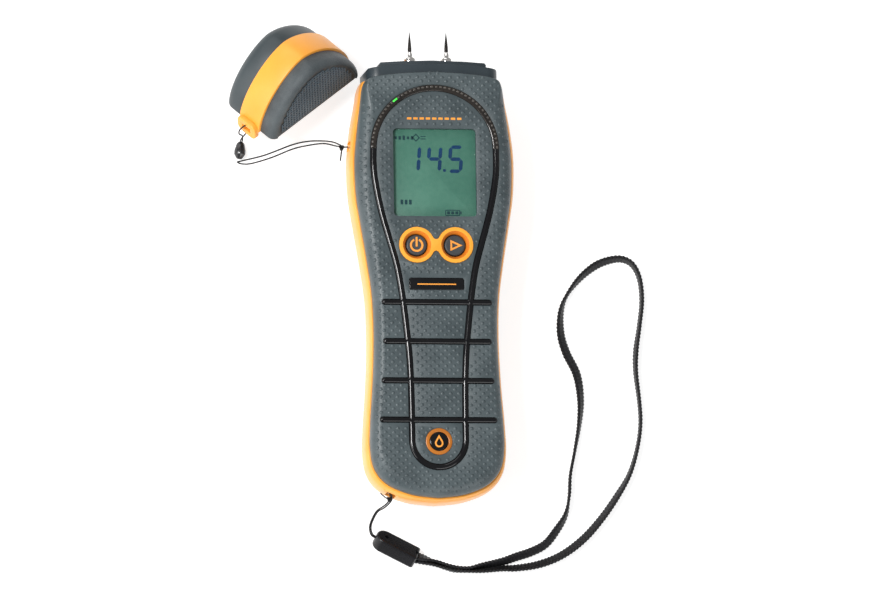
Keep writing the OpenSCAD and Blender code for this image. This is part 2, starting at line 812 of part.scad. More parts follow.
module cap_liner() {
    color(gloss) lying_cap() difference() {
        intersection() {
            dome_plate(-9, 9, cap_inset + 0.1);
            translate([-50, 2.5, -50]) cube([100, 9, 100]);
        }
        translate([-neck_end_half + 1, -1, -10]) cube([2 * neck_end_half - 2, 30, 20]);
    }
}

module cap_loop() {
    color(gloss) cord(loop_route, cord_d, 3);
}

// ---- Tether and wrist strap ---------------------------------------------------------------

module tether_bead() {
    color(gloss) difference() {
        translate(bead_at) rotate([-90, 0, -6]) translate([0, 0, -bead_hole])
            rotate_extrude($fn = 16)
                polygon([[0, 0], [1.3, 0], [2.4, 2], [2.4, 3.6], [1.7, 6.2], [1.1, 7.1], [0, 7.1]]);
        // The cross hole that the bead is tied through and turns about.
        rod(bead_at, -1, 6, 0.5);
    }
}

module tether_cord() {
    color(gloss) cord(tether_route, cord_d, 3);
}

module tether_knot() {
    color(gloss) translate([-36.1, 57.4, 16.8]) sphere(1.3, $fn = 20);
}

module strap_cord() {
    color(gloss) {
        cord(strap_cord_route, cord_d, 3);
        cord(strap_cord_back, cord_d, 3);
    }
}

module strap_knot() {
    color(gloss) translate([-20.6, -88.8, 18.2]) sphere(1.4, $fn = 20);
}

module strap_block() {
    color(gloss) translate([-22, -101.2, 0]) rotate([0, 0, -27]) difference() {
        translate([0, -5.5, 0.1]) union() {
            translate([3.5, 0, 0]) cube([15.5, 8, 6]);
            translate([3.5, 4, 0]) cylinder(h = 6, r = 4);
        }
        translate([4.2, -1.6, -1]) cylinder(h = 9, r = 0.9);
    }
}

// The webbing is one flat band along a smooth curve, leaning as its route says.
module strap_webbing() {
    path = curve(web_route, 2);
    n = len(path);
    function side(i) = let (v = path[min(i + 1, n - 1)] - path[max(i - 1, 0)])
        [-v.y, v.x, 0] / norm([v.x, v.y]);
    function ring(i) = let (
        s = side(i),
        a = path[i].z,
        wide = (s * cos(a) + [0, 0, sin(a)]) * web_w / 2,
        thick = (s * sin(a) - [0, 0, cos(a)]) * web_t / 2,
        mid = [path[i].x, path[i].y, web_low + web_w / 2 * sin(a) + web_t / 2 * cos(a)])
        [mid + wide + thick, mid - wide + thick, mid - wide - thick, mid + wide - thick];
    points = [for (i = [0 : n - 1], p = ring(i)) p];
    sides = [for (i = [0 : n - 2], k = [0 : 3])
        let (m = (k + 1) % 4) [i * 4 + k, i * 4 + m, i * 4 + 4 + m, i * 4 + 4 + k]];
    ends = [[3, 2, 1, 0], [for (k = [0 : 3]) (n - 1) * 4 + k]];
    color(gloss) polyhedron(points, concat(sides, ends), convexity = 8);
}

front_shell();
side_band();
rear_shell();
neck();
grip_frame();
light_lens();
led_board();
leds();
lit_led();
display_window();
display_glass();
display_segments();
display_frame();
backlight();
zebra_strips();
button_bezel();
power_button();
power_icon();
mode_button();
mode_icon();
button_switches();
main_board();
board_chips();
buzzer();
board_header();
sensor_board();
sensor_plate();
pin_sockets();
left_pin();
right_pin();
left_collar();
right_collar();
pin_seals();
probe_socket();
name_plate();
printed_marks();
badge_ring();
badge_disc();
badge_mark();
batteries();
battery_contacts();
battery_door();
case_screws();
board_screws();
tether_pin();
strap_pin();
cap_front();
cap_band();
cap_rear();
cap_liner();
cap_loop();
tether_bead();
tether_cord();
tether_knot();
strap_cord();
strap_knot();
strap_block();
strap_webbing();
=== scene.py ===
import bisect
import bpy
import json
import math
from mathutils import Euler, Matrix, Vector


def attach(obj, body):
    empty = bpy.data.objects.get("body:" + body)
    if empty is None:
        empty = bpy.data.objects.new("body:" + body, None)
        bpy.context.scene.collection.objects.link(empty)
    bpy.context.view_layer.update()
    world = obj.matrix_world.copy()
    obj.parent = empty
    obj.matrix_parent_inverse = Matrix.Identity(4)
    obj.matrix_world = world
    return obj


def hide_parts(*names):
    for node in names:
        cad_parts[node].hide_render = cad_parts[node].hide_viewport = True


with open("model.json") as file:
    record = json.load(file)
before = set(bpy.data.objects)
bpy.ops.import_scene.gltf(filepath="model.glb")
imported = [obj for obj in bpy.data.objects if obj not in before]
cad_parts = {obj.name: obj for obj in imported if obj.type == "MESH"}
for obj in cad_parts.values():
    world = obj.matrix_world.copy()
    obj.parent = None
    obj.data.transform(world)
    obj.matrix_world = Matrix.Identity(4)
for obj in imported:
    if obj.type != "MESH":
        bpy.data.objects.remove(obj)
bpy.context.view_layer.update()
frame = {"nodes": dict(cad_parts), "record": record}
mm = 0.001
bodyOf = {node: body for body, nodes in frame["record"]["behaviour"]["bodies"].items()
          for node in nodes}
print("frame loaded:", len(frame["nodes"]), "nodes")


def linked(name, data):
    obj = bpy.data.objects.new(name, data)
    bpy.context.scene.collection.objects.link(obj)
    return obj


cameraPlan = {
    "aim": (-0.0002, -0.0081, 0.0327),      # point at the middle of the view
    "back": (-0.1495, -0.1513, 0.9771),     # from the aim towards the camera
    "right": (0.9887, -0.0150, 0.1490),
    "distance": 8.0,
    "viewWidth": 0.3575,
    "clipEnd": 60,
}


def makeCamera(plan):
    back = Vector(plan["back"]).normalized()
    right = Vector(plan["right"])
    right = (right - back * right.dot(back)).normalized()
    up = back.cross(right)
    turn = Matrix((right, up, back)).transposed().to_4x4()
    data = bpy.data.cameras.new("camera")
    data.sensor_width = 36
    data.lens = data.sensor_width * plan["distance"] / plan["viewWidth"]
    data.clip_end = plan["clipEnd"]
    camera = linked("camera", data)
    camera.matrix_world = Matrix.Translation(Vector(plan["aim"]) + back * plan["distance"]) @ turn
    bpy.context.scene.camera = camera


makeCamera(cameraPlan)

lightPlan = {
    "world": 0.34,
    "boxes": {                         # name: (place, aim, width, height, watts)
        "keyBox": ((-0.75, 0.06, 1.27), (0, 0, 0.02), 0.36, 0.36, 17.0),
        "backBox": ((-0.5, 1.2, 0.8), (0, 0.02, 0.02), 1.0, 0.5, 4.0),
        "sideBox": ((-1.1, -0.35, 0.45), (0, 0, 0.02), 0.9, 0.5, 6.0),
        "lowBox": ((0.5, -1.1, 0.75), (0, 0, 0.02), 1.0, 0.5, 6.0),
    },
}


def makeLights(plan):
    world = bpy.data.worlds.new("studio")
    bpy.context.scene.world = world
    world.use_nodes = True
    background = world.node_tree.nodes["Background"]
    background.inputs["Color"].default_value = (1.0, 1.0, 1.0, 1.0)
    background.inputs["Strength"].default_value = plan["world"]
    for name, (place, aim, width, height, watts) in plan["boxes"].items():
        data = bpy.data.lights.new(name, "AREA")
        data.shape = "RECTANGLE"
        data.size = width
        data.size_y = height
        data.energy = watts
        lamp = linked(name, data)
        lamp.location = place
        lamp.rotation_euler = (Vector(aim) - Vector(place)).to_track_quat("-Z", "Y").to_euler()


makeLights(lightPlan)
bpy.context.scene.view_settings.view_transform = "Standard"


def deselectAll():
    if bpy.context.object and bpy.context.object.mode != "OBJECT":
        bpy.ops.object.mode_set(mode="OBJECT")
    bpy.ops.object.select_all(action="DESELECT")


def activate(obj):
    deselectAll()
    obj.select_set(True)
    bpy.context.view_layer.objects.active = obj
    return obj


def editAll(obj):
    activate(obj)
    bpy.ops.object.mode_set(mode="EDIT")
    bpy.ops.mesh.select_mode(type="VERT")
    bpy.ops.mesh.select_all(action="SELECT")


def leaveEdit():
    bpy.ops.object.mode_set(mode="OBJECT")


def named(name):
    obj = bpy.context.object
    obj.name = name
    obj.data.name = name
    return obj


def settle(obj):                       # the place goes into the mesh
    activate(obj)
    bpy.ops.object.transform_apply(location=True, rotation=True, scale=True)
    return obj


def meshOf(name, points, faces):
    mesh = bpy.data.meshes.new(name)
    mesh.from_pydata(points, [], faces)
    return linked(name, mesh)


def tubeFaces(rings, count):           # between rings of count points, and over both ends
    last = (rings - 1) * count
    return [(i * count + k, i * count + (k + 1) % count, (i + 1) * count + (k + 1) % count,
             (i + 1) * count + k) for i in range(rings - 1) for k in range(count)] + [
        tuple(range(count)), tuple(last + k for k in range(count))]


def circlePoints(count, middle=(0, 0), start=0.0):
    return [(middle[0] + math.cos(math.tau * (k + start) / count),
             middle[1] + math.sin(math.tau * (k + start) / count)) for k in range(count)]


def faceOut(obj, merge=0.0):
    editAll(obj)
    if merge:
        bpy.ops.mesh.remove_doubles(threshold=merge * mm)
    bpy.ops.mesh.normals_make_consistent(inside=False)
    leaveEdit()
    return obj


def modify(obj, kind, **settings):
    activate(obj)
    modifier = obj.modifiers.new("Shape", kind)
    for key, value in settings.items():
        setattr(modifier, key, value)
    bpy.ops.object.modifier_apply(modifier=modifier.name)
    return obj


def cut(obj, cutter, operation="DIFFERENCE"):
    modify(obj, "BOOLEAN", object=cutter, operation=operation, solver="EXACT")
    bpy.data.objects.remove(cutter)
    return obj


def softenEdges(obj, width, segments=2, angle=40):
    return modify(obj, "BEVEL", width=width * mm, segments=segments, limit_method="ANGLE",
                  angle_limit=math.radians(angle), use_clamp_overlap=True)


def smooth(obj, angle=35):
    activate(obj)
    bpy.ops.object.shade_smooth_by_angle(angle=math.radians(angle))
    return obj


def joined(name, parts):
    deselectAll()
    for part in parts:
        part.select_set(True)
    bpy.context.view_layer.objects.active = parts[0]
    if len(parts) > 1:
        bpy.ops.object.join()
    return named(name)


def prism(name, points, low, high):    # a flat outline pulled up from low to high
    deselectAll()
    bpy.ops.mesh.primitive_circle_add(vertices=len(points), fill_type="NGON")
    obj = named(name)
    for vertex, point in zip(obj.data.vertices, points):
        vertex.co = (point[0] * mm, point[1] * mm, low * mm)
    editAll(obj)
    bpy.ops.mesh.extrude_region_move(TRANSFORM_OT_translate={"value": (0, 0, (high - low) * mm)})
    leaveEdit()
    return faceOut(obj)


def loft(name, points, centre, levels):
    # Each level is (height, width scale, length scale) about the centre.
    deselectAll()
    bpy.ops.mesh.primitive_circle_add(vertices=len(points), fill_type="NOTHING")
    obj = named(name)
    low, wide, long = levels[0]
    for vertex, point in zip(obj.data.vertices, points):
        vertex.co = ((centre[0] + (point[0] - centre[0]) * wide) * mm,
                     (centre[1] + (point[1] - centre[1]) * long) * mm, low * mm)
    editAll(obj)
    for before, now in zip(levels, levels[1:]):
        bpy.ops.mesh.extrude_region_move(
            TRANSFORM_OT_translate={"value": (0, 0, (now[0] - before[0]) * mm)})
        bpy.ops.transform.resize(value=(now[1] / before[1], now[2] / before[2], 1),
                                 center_override=(centre[0] * mm, centre[1] * mm, 0))
    bpy.ops.mesh.edge_face_add()
    bpy.ops.mesh.select_all(action="DESELECT")
    bpy.ops.mesh.select_non_manifold()
    bpy.ops.mesh.edge_face_add()
    leaveEdit()
    return faceOut(obj)


def block(name, low, high):
    deselectAll()
    middle = [(a + b) / 2 * mm for a, b in zip(low, high)]
    bpy.ops.mesh.primitive_cube_add(size=1, location=middle)
    obj = named(name)
    obj.scale = [(b - a) * mm for a, b in zip(low, high)]
    return settle(obj)


def drum(name, at, low, high, radius, vertices=48):
    deselectAll()
    bpy.ops.mesh.primitive_cylinder_add(
        vertices=vertices, radius=radius * mm, depth=(high - low) * mm,
        location=(at[0] * mm, at[1] * mm, (low + high) / 2 * mm))
    return settle(named(name))


def turnedPiece(name, profile, x, height, steps=40):
    # The profile is (radius, distance along +Y), spun about the piece's own axis.
    deselectAll()
    bpy.ops.mesh.primitive_circle_add(vertices=len(profile), fill_type="NOTHING")
    obj = named(name)
    for vertex, (radius, along) in zip(obj.data.vertices, profile):
        vertex.co = ((x + radius) * mm, along * mm, height * mm)
    if profile[0][0] == 0 or profile[-1][0] == 0:      # open at the axis
        editAll(obj)
        bpy.ops.mesh.select_all(action="DESELECT")
        leaveEdit()
        last = len(profile) - 1
        for edge in obj.data.edges:
            edge.select = set(edge.vertices) == {0, last}
        bpy.ops.object.mode_set(mode="EDIT")
        bpy.ops.mesh.select_mode(type="EDGE")
        bpy.ops.mesh.delete(type="EDGE")
    editAll(obj)
    bpy.ops.mesh.spin(steps=steps, angle=math.tau, center=(x * mm, 0, height * mm), axis=(0, 1, 0))
    leaveEdit()
    return faceOut(obj, merge=0.002)


def roundedBox(middle, width, height, radius, steps=6):    # outline points, counter-clockwise
    points = []
    for corner, (sx, sy) in enumerate([(1, 1), (-1, 1), (-1, -1), (1, -1)]):
        cx = middle[0] + sx * (width / 2 - radius)
        cy = middle[1] + sy * (height / 2 - radius)
        for step in range(steps + 1):
            angle = math.radians(90 * corner + 90 * step / steps)
            points.append((cx + radius * math.cos(angle), cy + radius * math.sin(angle)))
    return points


def copyOf(name, node):                # a merged copy of a CAD node
    data = frame["nodes"][node].data.copy()
    data.materials.clear()
    obj = joined(name, [linked(name, data)])
    return faceOut(obj, merge=0.001)


def finished(obj, node, finish, angle=35, replaces=True):
    # Smooth below the angle, with the finish, and with the body of the CAD node.
    if angle:
        smooth(obj, angle)
    obj.data.materials.clear()
    obj.data.materials.append(materials[finish])
    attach(obj, bodyOf[node])
    if replaces:
        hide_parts(node)
    return obj


materials = {}


def makeFinish(name, base, accent, roughness, grain, bump, patch=60, coat=0.0, metallic=0.0,
               specular=0.5, sheen=0.0, light=None, alpha=1.0, contrast=0.5):
    # Fine grain over soft patches: colour, roughness and bump all follow it.
    made = bpy.data.materials.new(name)
    made.use_nodes = True
    nodes, links = made.node_tree.nodes, made.node_tree.links
    shader = nodes["Principled BSDF"]
    settings = {"Metallic": metallic, "Coat Weight": coat, "Coat Roughness": 0.06,
                "Specular IOR Level": specular, "Sheen Weight": sheen, "Alpha": alpha}
    if light:
        settings.update({"Emission Color": (*light[0], 1), "Emission Strength": light[1]})
    for key, value in settings.items():
        shader.inputs[key].default_value = value
    place = nodes.new("ShaderNodeTexCoord")
    noises = []
    for scale, detail in ((grain, 4), (patch, 3)):
        noise = nodes.new("ShaderNodeTexNoise")
        noise.inputs["Scale"].default_value = scale
        noise.inputs["Detail"].default_value = detail
        links.new(place.outputs["Object"], noise.inputs["Vector"])
        noises.append(noise.outputs["Fac"])
    fine, broad = noises
    both = nodes.new("ShaderNodeMath")
    both.operation = "MULTIPLY_ADD"
    both.inputs[1].default_value = contrast
    links.new(fine, both.inputs[0])
    links.new(broad, both.inputs[2])
    ramp = nodes.new("ShaderNodeValToRGB")
    for k, (at, colour) in enumerate([(0.45 + contrast * 0.3, base),
                                      (0.60 + contrast * 0.7, accent)]):
        ramp.color_ramp.elements[k].position = at
        ramp.color_ramp.elements[k].color = (*colour, 1)
    links.new(both.outputs[0], ramp.inputs["Fac"])
    links.new(ramp.outputs["Color"], shader.inputs["Base Color"])
    gloss = nodes.new("ShaderNodeMapRange")
    gloss.inputs["To Min"].default_value = roughness * 0.85
    gloss.inputs["To Max"].default_value = min(1.0, roughness * 1.15)
    links.new(fine, gloss.inputs["Value"])
    links.new(gloss.outputs["Result"], shader.inputs["Roughness"])
    if bump:
        lift = nodes.new("ShaderNodeBump")
        lift.inputs["Strength"].default_value = bump
        lift.inputs["Distance"].default_value = 0.0002
        links.new(fine, lift.inputs["Height"])
        links.new(lift.outputs["Normal"], shader.inputs["Normal"])
    materials[name] = made


finishes = {
    # name: base colour, accent colour, roughness, grains in a metre, bump, then anything else
    "shellDark": ((0.045, 0.061, 0.067), (0.072, 0.093, 0.1), 0.42, 3000, 0.3, {"patch": 90}),
    "shellRear": ((0.03, 0.038, 0.043), (0.046, 0.057, 0.063), 0.5, 2200, 0.45),
    "neckDark": ((0.022, 0.032, 0.039), (0.03, 0.042, 0.05), 0.38, 3500, 0.12),
    "capDark": ((0.038, 0.047, 0.052), (0.07, 0.084, 0.09), 0.55, 2600, 0.9, {"patch": 120}),
    "capFace": ((0.092, 0.124, 0.15), (0.13, 0.166, 0.195), 0.65, 3000, 0.3, {"specular": 0.2}),
    # painted shade: near-black for the floors of the cap face's dimples
    "paintedDimpleShade": ((0.008, 0.012, 0.016), (0.014, 0.02, 0.025), 0.7, 3000, 0.2, {"specular": 0.2}),
    "capRear": ((0.028, 0.039, 0.044), (0.038, 0.05, 0.056), 0.46, 3500, 0.1),
    "bandOrange": ((0.86, 0.335, 0.03), (0.92, 0.385, 0.045), 0.3, 3000, 0.06, {"specular": 0.85}),
    "capOrange": ((0.86, 0.335, 0.03), (0.92, 0.385, 0.045), 0.42, 3000, 0.08),
    "bezelOrange": ((0.86, 0.345, 0.03), (0.92, 0.395, 0.045), 0.3, 3000, 0.05),
    # painted shade: a darker orange for the funnels' walls
    "funnelShadeOrange": ((0.62, 0.165, 0.012), (0.7, 0.205, 0.018), 0.34, 3000, 0.05),
    "ringOrange": ((0.38, 0.115, 0.012), (0.47, 0.155, 0.017), 0.26, 3000, 0.05),
    "glossBlack": ((0.002, 0.002, 0.003), (0.005, 0.005, 0.006), 0.12, 1500, 0.02,
                   {"specular": 0.38}),
    "smokeLens": ((0.01, 0.008, 0.007), (0.022, 0.018, 0.015), 0.08, 900, 0.02),
    "windowLight": ((0.06, 0.054, 0.048), (0.1, 0.09, 0.078), 0.25, 3000, 0.05),
    "litGreen": ((0.03, 0.42, 0.03), (0.1, 0.75, 0.12), 0.3, 2500, 0.0,
                 {"light": ((0.1, 1.0, 0.12), 0.55)}),
    "clearPane": ((0.01, 0.014, 0.012), (0.016, 0.022, 0.018), 0.04, 300, 0.0, {"alpha": 0.06}),
    "displayGreen": ((0.058, 0.192, 0.138), (0.082, 0.232, 0.168), 0.42, 500, 0.0, {"patch": 45}),
    "displayInk": ((0.003, 0.034, 0.1), (0.005, 0.05, 0.14), 0.3, 800, 0.0, {"patch": 120}),
    "faintInk": ((0.01, 0.05, 0.06), (0.013, 0.06, 0.066), 0.3, 800, 0.0),
    "plasticBlack": ((0.016, 0.017, 0.018), (0.028, 0.029, 0.031), 0.45, 2500, 0.25),
    "keypadRubber": ((0.03, 0.034, 0.038), (0.045, 0.05, 0.055), 0.46, 3500, 0.25),
    "iconOrange": ((0.8, 0.28, 0.035), (0.9, 0.34, 0.05), 0.5, 4000, 0.1),
    "markOrange": ((0.8, 0.29, 0.03), (0.9, 0.36, 0.05), 0.45, 4000, 0.1),
    "boardGreen": ((0.012, 0.12, 0.05), (0.02, 0.19, 0.08), 0.35, 900, 0.2, {"coat": 0.3}),
    "milky": ((0.7, 0.76, 0.62), (0.82, 0.88, 0.74), 0.4, 800, 0.05),
    "softRubber": ((0.022, 0.022, 0.023), (0.04, 0.04, 0.042), 0.7, 2500, 0.3),
    "steel": ((0.5, 0.51, 0.52), (0.66, 0.67, 0.68), 0.28, 1800, 0.15, {"metallic": 1.0}),
    "pinSteel": ((0.055, 0.052, 0.05), (0.13, 0.12, 0.115), 0.16, 1800, 0.1, {"metallic": 1.0}),
    "collarChrome": ((0.8, 0.78, 0.76), (0.92, 0.9, 0.88), 0.1, 1200, 0.05, {"metallic": 1.0}),
    "copper": ((0.62, 0.32, 0.18), (0.78, 0.45, 0.28), 0.3, 900, 0.1, {"metallic": 1.0}),
    "brass": ((0.6, 0.44, 0.18), (0.74, 0.58, 0.28), 0.28, 1200, 0.1, {"metallic": 1.0}),
    "cellJacket": ((0.42, 0.27, 0.06), (0.55, 0.36, 0.1), 0.3, 400, 0.05, {"coat": 0.3}),
    "thinCord": ((0.004, 0.004, 0.005), (0.012, 0.012, 0.013), 0.5, 2600, 0.5,
                 {"sheen": 0.02, "specular": 0.25}),
    "beadPlastic": ((0.01, 0.01, 0.011), (0.02, 0.02, 0.022), 0.22, 1500, 0.1),
    "blockTop": ((0.003, 0.003, 0.004), (0.007, 0.007, 0.009), 0.28, 2500, 0.12,
                 {"specular": 0.35}),
    "webbingBlack": ((0.003, 0.003, 0.004), (0.01, 0.01, 0.012), 0.5, 2200, 0.6,
                     {"sheen": 0.02, "specular": 0.25}),
    "paperWhite": ((0.55, 0.55, 0.55), (0.57, 0.57, 0.57), 0.9, 200, 0.0,
                   {"light": ((1.0, 1.0, 1.0), 0.72)}),
}
for name, (base, accent, roughness, grain, bump, *more) in finishes.items():
    makeFinish(name, base, accent, roughness, grain, bump, **(more[0] if more else {}))
print("materials made:", len(materials))

floorPlan = {"half": 3.0, "low": -0.004}


def makeFloor(plan):
    deselectAll()
    bpy.ops.mesh.primitive_grid_add(x_subdivisions=8, y_subdivisions=8, size=2 * plan["half"])
    floor = named("studioFloor")
    editAll(floor)
    bpy.ops.mesh.extrude_region_move(TRANSFORM_OT_translate={"value": (0, 0, plan["low"])})
    leaveEdit()
    faceOut(floor)
    floor.data.materials.append(materials["paperWhite"])


makeFloor(floorPlan)


def curveThrough(points, steps):
    # A smooth curve through all the points, as the shells' outline and the cords follow it.
    made = []
    last = len(points) - 1
    for i in range(last):
        a, b, c, d = (Vector(points[k]) for k in (max(i - 1, 0), i, i + 1, min(i + 2, last)))
        for step in range(steps):
            t = step / steps
            made.append(0.5 * (2 * b + (c - a) * t + (2 * a - 5 * b + 4 * c - d) * t * t
                               + (3 * b - a - 3 * c + d) * t * t * t))
    made.append(Vector(points[last]))
    return made


cordPlan = {
    "thick": 0.6,
    "tetherCord": [
        (-34, 57.2, 20), (-35.4, 57.4, 18.6), (-36.4, 58.8, 15), (-38.6, 61.2, 8), (-42.3, 62.4, 3),
        (-47.7, 62.5, 0.8), (-54.4, 61, 0.5), (-65.8, 56.6, 0.5), (-76.2, 53.9, 0.9),
        (-76.9, 53.4, 1.2), (-75.4, 52.9, 0.8), (-71.3, 53.1, 0.5), (-62.8, 55.7, 0.5),
        (-54.3, 59.2, 0.5), (-47.9, 60.8, 0.6), (-41.6, 61.3, 3), (-37.6, 59.4, 9),
        (-36.1, 57.4, 16.8), (-36.0, 55.2, 15), (-35.8, 53, 11)],
    "capLoop": [
        (-76.2, 61.4, 2.9), (-76.2, 62.3, 6), (-75.7, 63.0, 11), (-74.7, 64.2, 14.5),
        (-74.4, 65.4, 17.2), (-75.4, 66.1, 19), (-77, 65.4, 19.4), (-78.4, 64.2, 17.8),
        (-78.2, 63.2, 14.5), (-76.4, 62.9, 11), (-75.6, 62.2, 6), (-75.5, 61.4, 2.9)],
    "strapCord": [
        (-18.6, -86.4, 20), (-18.3, -88.6, 18.2), (-20, -90.7, 15.4), (-23.1, -92.8, 13),
        (-24.7, -96.0, 9), (-25.3, -98.9, 7), (-24.5, -101.5, 5.5), (-23.2, -102.5, 5),
        (-21.9, -102.9, 4.9), (-21.7, -102.3, 4.9), (-22.9, -102.0, 5), (-24.0, -101.1, 5.5),
        (-24.7, -98.8, 7), (-24.2, -96.2, 9), (-22.7, -93.2, 13.1), (-20, -91.6, 15.9),
        (-17.7, -89.1, 18.2), (-17.9, -86.8, 20)],
}
webbingPlan = {
    "wide": 4.6, "thick": 1.4, "low": 0.1,
    "rib": 1.5,                        # distance from rib to rib
    "ribDeep": 0.22,
    # The band stands on its edge: (x, y, lean up from flat in degrees, lift off the floor).
    "route": [
        (-8.6, -108.9, 138, 3.4), (-6.2, -110.1, 138, 3.4), (-3, -110.9, 128, 2.7),
        (0, -111.4, 108, 1.0), (3.3, -112.3, 92, 0.2), (7.5, -113.7), (11.8, -114.6),
        (16.6, -114.7), (21.6, -113.9, 68), (30.2, -112, 56), (36, -110, 50), (42.5, -107.8, 48),
        (48.4, -104.6, 48), (53, -99, 50), (57, -92.4, 70), (58.6, -84.5, 85), (59.2, -76, 85),
        (61.2, -66, 80), (63.2, -55, 70), (64, -44.7, 52), (62.6, -34, 38), (58.4, -25, 36),
        (56.2, -17, 44), (56.4, -8, 62), (59, -1, 80), (64.4, 6, 65), (70.6, 11.1, 55),
        (76.4, 13.6, 60), (82.1, 14.2, 70), (86.6, 11.8, 80), (89.4, 6, 85), (90.2, -3, 85),
        (89, -13.5, 85), (87.4, -24, 80), (87.2, -33, 85), (88.4, -44.5), (88.8, -54),
        (87.4, -64, 88), (84, -75, 80), (78.6, -84.4, 65), (71.8, -94, 58), (64, -102.6, 50),
        (55, -109.2, 48), (45.6, -113, 48), (36, -114.6, 54), (30.2, -114.8, 60), (21, -115.9, 74),
        (11.8, -116.0, 86), (7.5, -115.15, 85), (3.3, -113.85, 78, 0.2), (0, -112.85, 65, 1.0),
        (-3, -112.2, 52, 1.9), (-6.6, -111.3, 42, 2.3), (-9.0, -110.1, 42, 2.3)],
}


def makeThinCords(plan):
    for name, node, farEnd, onIt in (
            ("tetherCord", "tether_cord", "knot", ["tether_knot"]),
            ("capLoop", "cap_loop", "object", ["tether_bead"]),
            ("strapCord", "strap_cord", "object", ["strap_knot", "strap_block"])):
        path = [p * mm for p in curveThrough(plan[name], 5)]
        data = bpy.data.curves.new(name, "CURVE")
        data.dimensions = "3D"
        data.bevel_depth = plan["thick"] / 2 * mm
        data.bevel_resolution = 3
        data.use_fill_caps = True
        spline = data.splines.new("POLY")
        spline.points.add(len(path) - 1)
        for point, at in zip(spline.points, path):
            point.co = (*at, 1)
        cord = finished(linked(name, data), node, "thinCord", None)


def makeWebbing(plan):
    # One band whose cross ribs are in the mesh: six rings to a rib.
    route = [Vector((*p, *(90, 0)[len(p) - 2:])) for p in plan["route"]]
    coarse = curveThrough(route, 24)
    spacing = plan["rib"] / 6
    path, covered, before = [coarse[0]], 0.0, coarse[0]
    for point in coarse[1:]:           # even steps along the band
        gap = (point.xy - before.xy).length
        while covered + gap >= spacing:
            t = (spacing - covered) / gap
            before = before.lerp(point, t)
            path.append(before.copy())
            gap = (point.xy - before.xy).length
            covered = 0.0
        covered += gap
        before = point
    section = [(0.5, 0.22), (0.42, 0.5), (0.16, 0.44), (-0.16, 0.44), (-0.42, 0.5), (-0.5, 0.22),
               (-0.5, -0.22), (-0.42, -0.5), (-0.16, -0.44), (0.16, -0.44), (0.42, -0.5),
               (0.5, -0.22)]
    mids, rings = [], []
    last = len(path) - 1
    for i, point in enumerate(path):
        ahead = (path[min(i + 1, last)] - path[max(i - 1, 0)]).xy.normalized()
        side = Vector((-ahead.y, ahead.x, 0))
        lean = math.radians(point.z)
        wideWay = side * math.cos(lean) + Vector((0, 0, math.sin(lean)))
        thickWay = side * math.sin(lean) - Vector((0, 0, math.cos(lean)))
        height = (plan["low"] + point.w + plan["wide"] / 2 * math.sin(lean)
                  + plan["thick"] / 2 * abs(math.cos(lean)))
        middle = Vector((point.x, point.y, height))
        wave = 0.5 + 0.5 * math.cos(i * math.tau / 6)
        wide = plan["wide"] - plan["ribDeep"] * 1.6 * (1 - wave)
        thick = plan["thick"] - plan["ribDeep"] * 2 * (1 - wave)
        mids.append(middle * mm)
        rings.append([(middle + wideWay * a * wide + thickWay * b * thick) * mm
                      for a, b in section])
    band = faceOut(meshOf("strapWebbing", [p for ring in rings for p in ring],
                          tubeFaces(len(path), len(section))))
    finished(band, "strap_webbing", "webbingBlack", 50)


makeThinCords(cordPlan)
makeWebbing(webbingPlan)
print("cords laid")

shellPlan = {
    "front": 34.0, "bandLow": 15.0, "bandHigh": 27.0, "bandOut": 2.0, "wall": 2.0,
    "frontRound": 5.0, "rearRound": 6.0, "roof": 31.8, "groove": 32.15,
    "halfX": 32.0, "halfY": 88.0, "midY": -1.0,
    "rearIn": 1.1,                     # how far the rear shell is drawn in
    "bandDrop": 2.5,                   # how far the band reaches down over the rear shell
    "socket": (20, 40, 46, 21, 3.2),   # the probe socket's room: x from and to, y, z, radius
    # Right half of the outline, from the top middle to the bottom middle.
    "outline": [
        (0, 86.9), (14, 86.2), (25, 84.6), (28.6, 81.4), (29.9, 73), (31.3, 62), (32.4, 50),
        (32.0, 36), (30.3, 24), (27.8, 8), (26.0, -6), (25.5, -22), (26.1, -40), (27.4, -58),
        (27.7, -69), (26.0, -77.7), (20.7, -84), (11, -88), (0, -89.4)],
}
neckPlan = {"half": 27.1, "endHalf": 22.2, "low": 82.0, "middle": 19.25, "deep": 27.0, "round": 5.0}
stripPlan = {
    "wide": 2.6, "arcRadius": 25.4, "arcY": 54.4, "ringRadius": 11.1, "ringY": -66.4,
    "side": [(25.4, 54.4), (25.4, 46), (24.4, 38), (22.4, 28), (19.4, 17), (16.4, 6), (14.4, -6),
             (12.8, -20), (11.7, -32), (11.2, -46), (11.1, -66.4)],
    "firstBar": -9.2, "barGap": 16.26, "barWide": 2.4, "reaches": (22.9, 22.5, 23.4, 24.3),
}
displayPlan = {"wide": 34.2, "high": 36.2, "y": 44.7}
buttonPlan = {"x": 7.95, "y": 14.55, "radius": 4.3, "ring": 7.4, "fillet": 1.4}
platePlan = {"y": -1.6, "wide": 22.8, "high": 4.9}
badgePlan = {"y": -66.9, "ring": 5.5, "disc": 3.9, "low": 1.2, "drop": 1.75, "dropHole": 0.62}
backPlan = {
    "screws": [(22.3, 76), (-22.3, 76), (19, -25), (-19, -25)],
    "label": ((0, 20), 40, 46, 3), "labelDeep": 0.35,        # a shallow place for a plain label
    "grooves": 5, "gap": 3.2, "grooveDeep": 0.5,             # finger grooves above the label
}


def outlinePoints(plan, steps=6):
    right = curveThrough([(x, y, 0) for x, y in plan["outline"]], steps)
    left = [Vector((-p.x, p.y, 0)) for p in right[-2:0:-1]]
    return [(p.x, p.y) for p in reversed(right + left)]       # counter-clockwise


shellOutline = outlinePoints(shellPlan)


def inset(height, d):                  # one loft level, drawn in by d
    return (height, 1 - d / shellPlan["halfX"], 1 - d / shellPlan["halfY"])


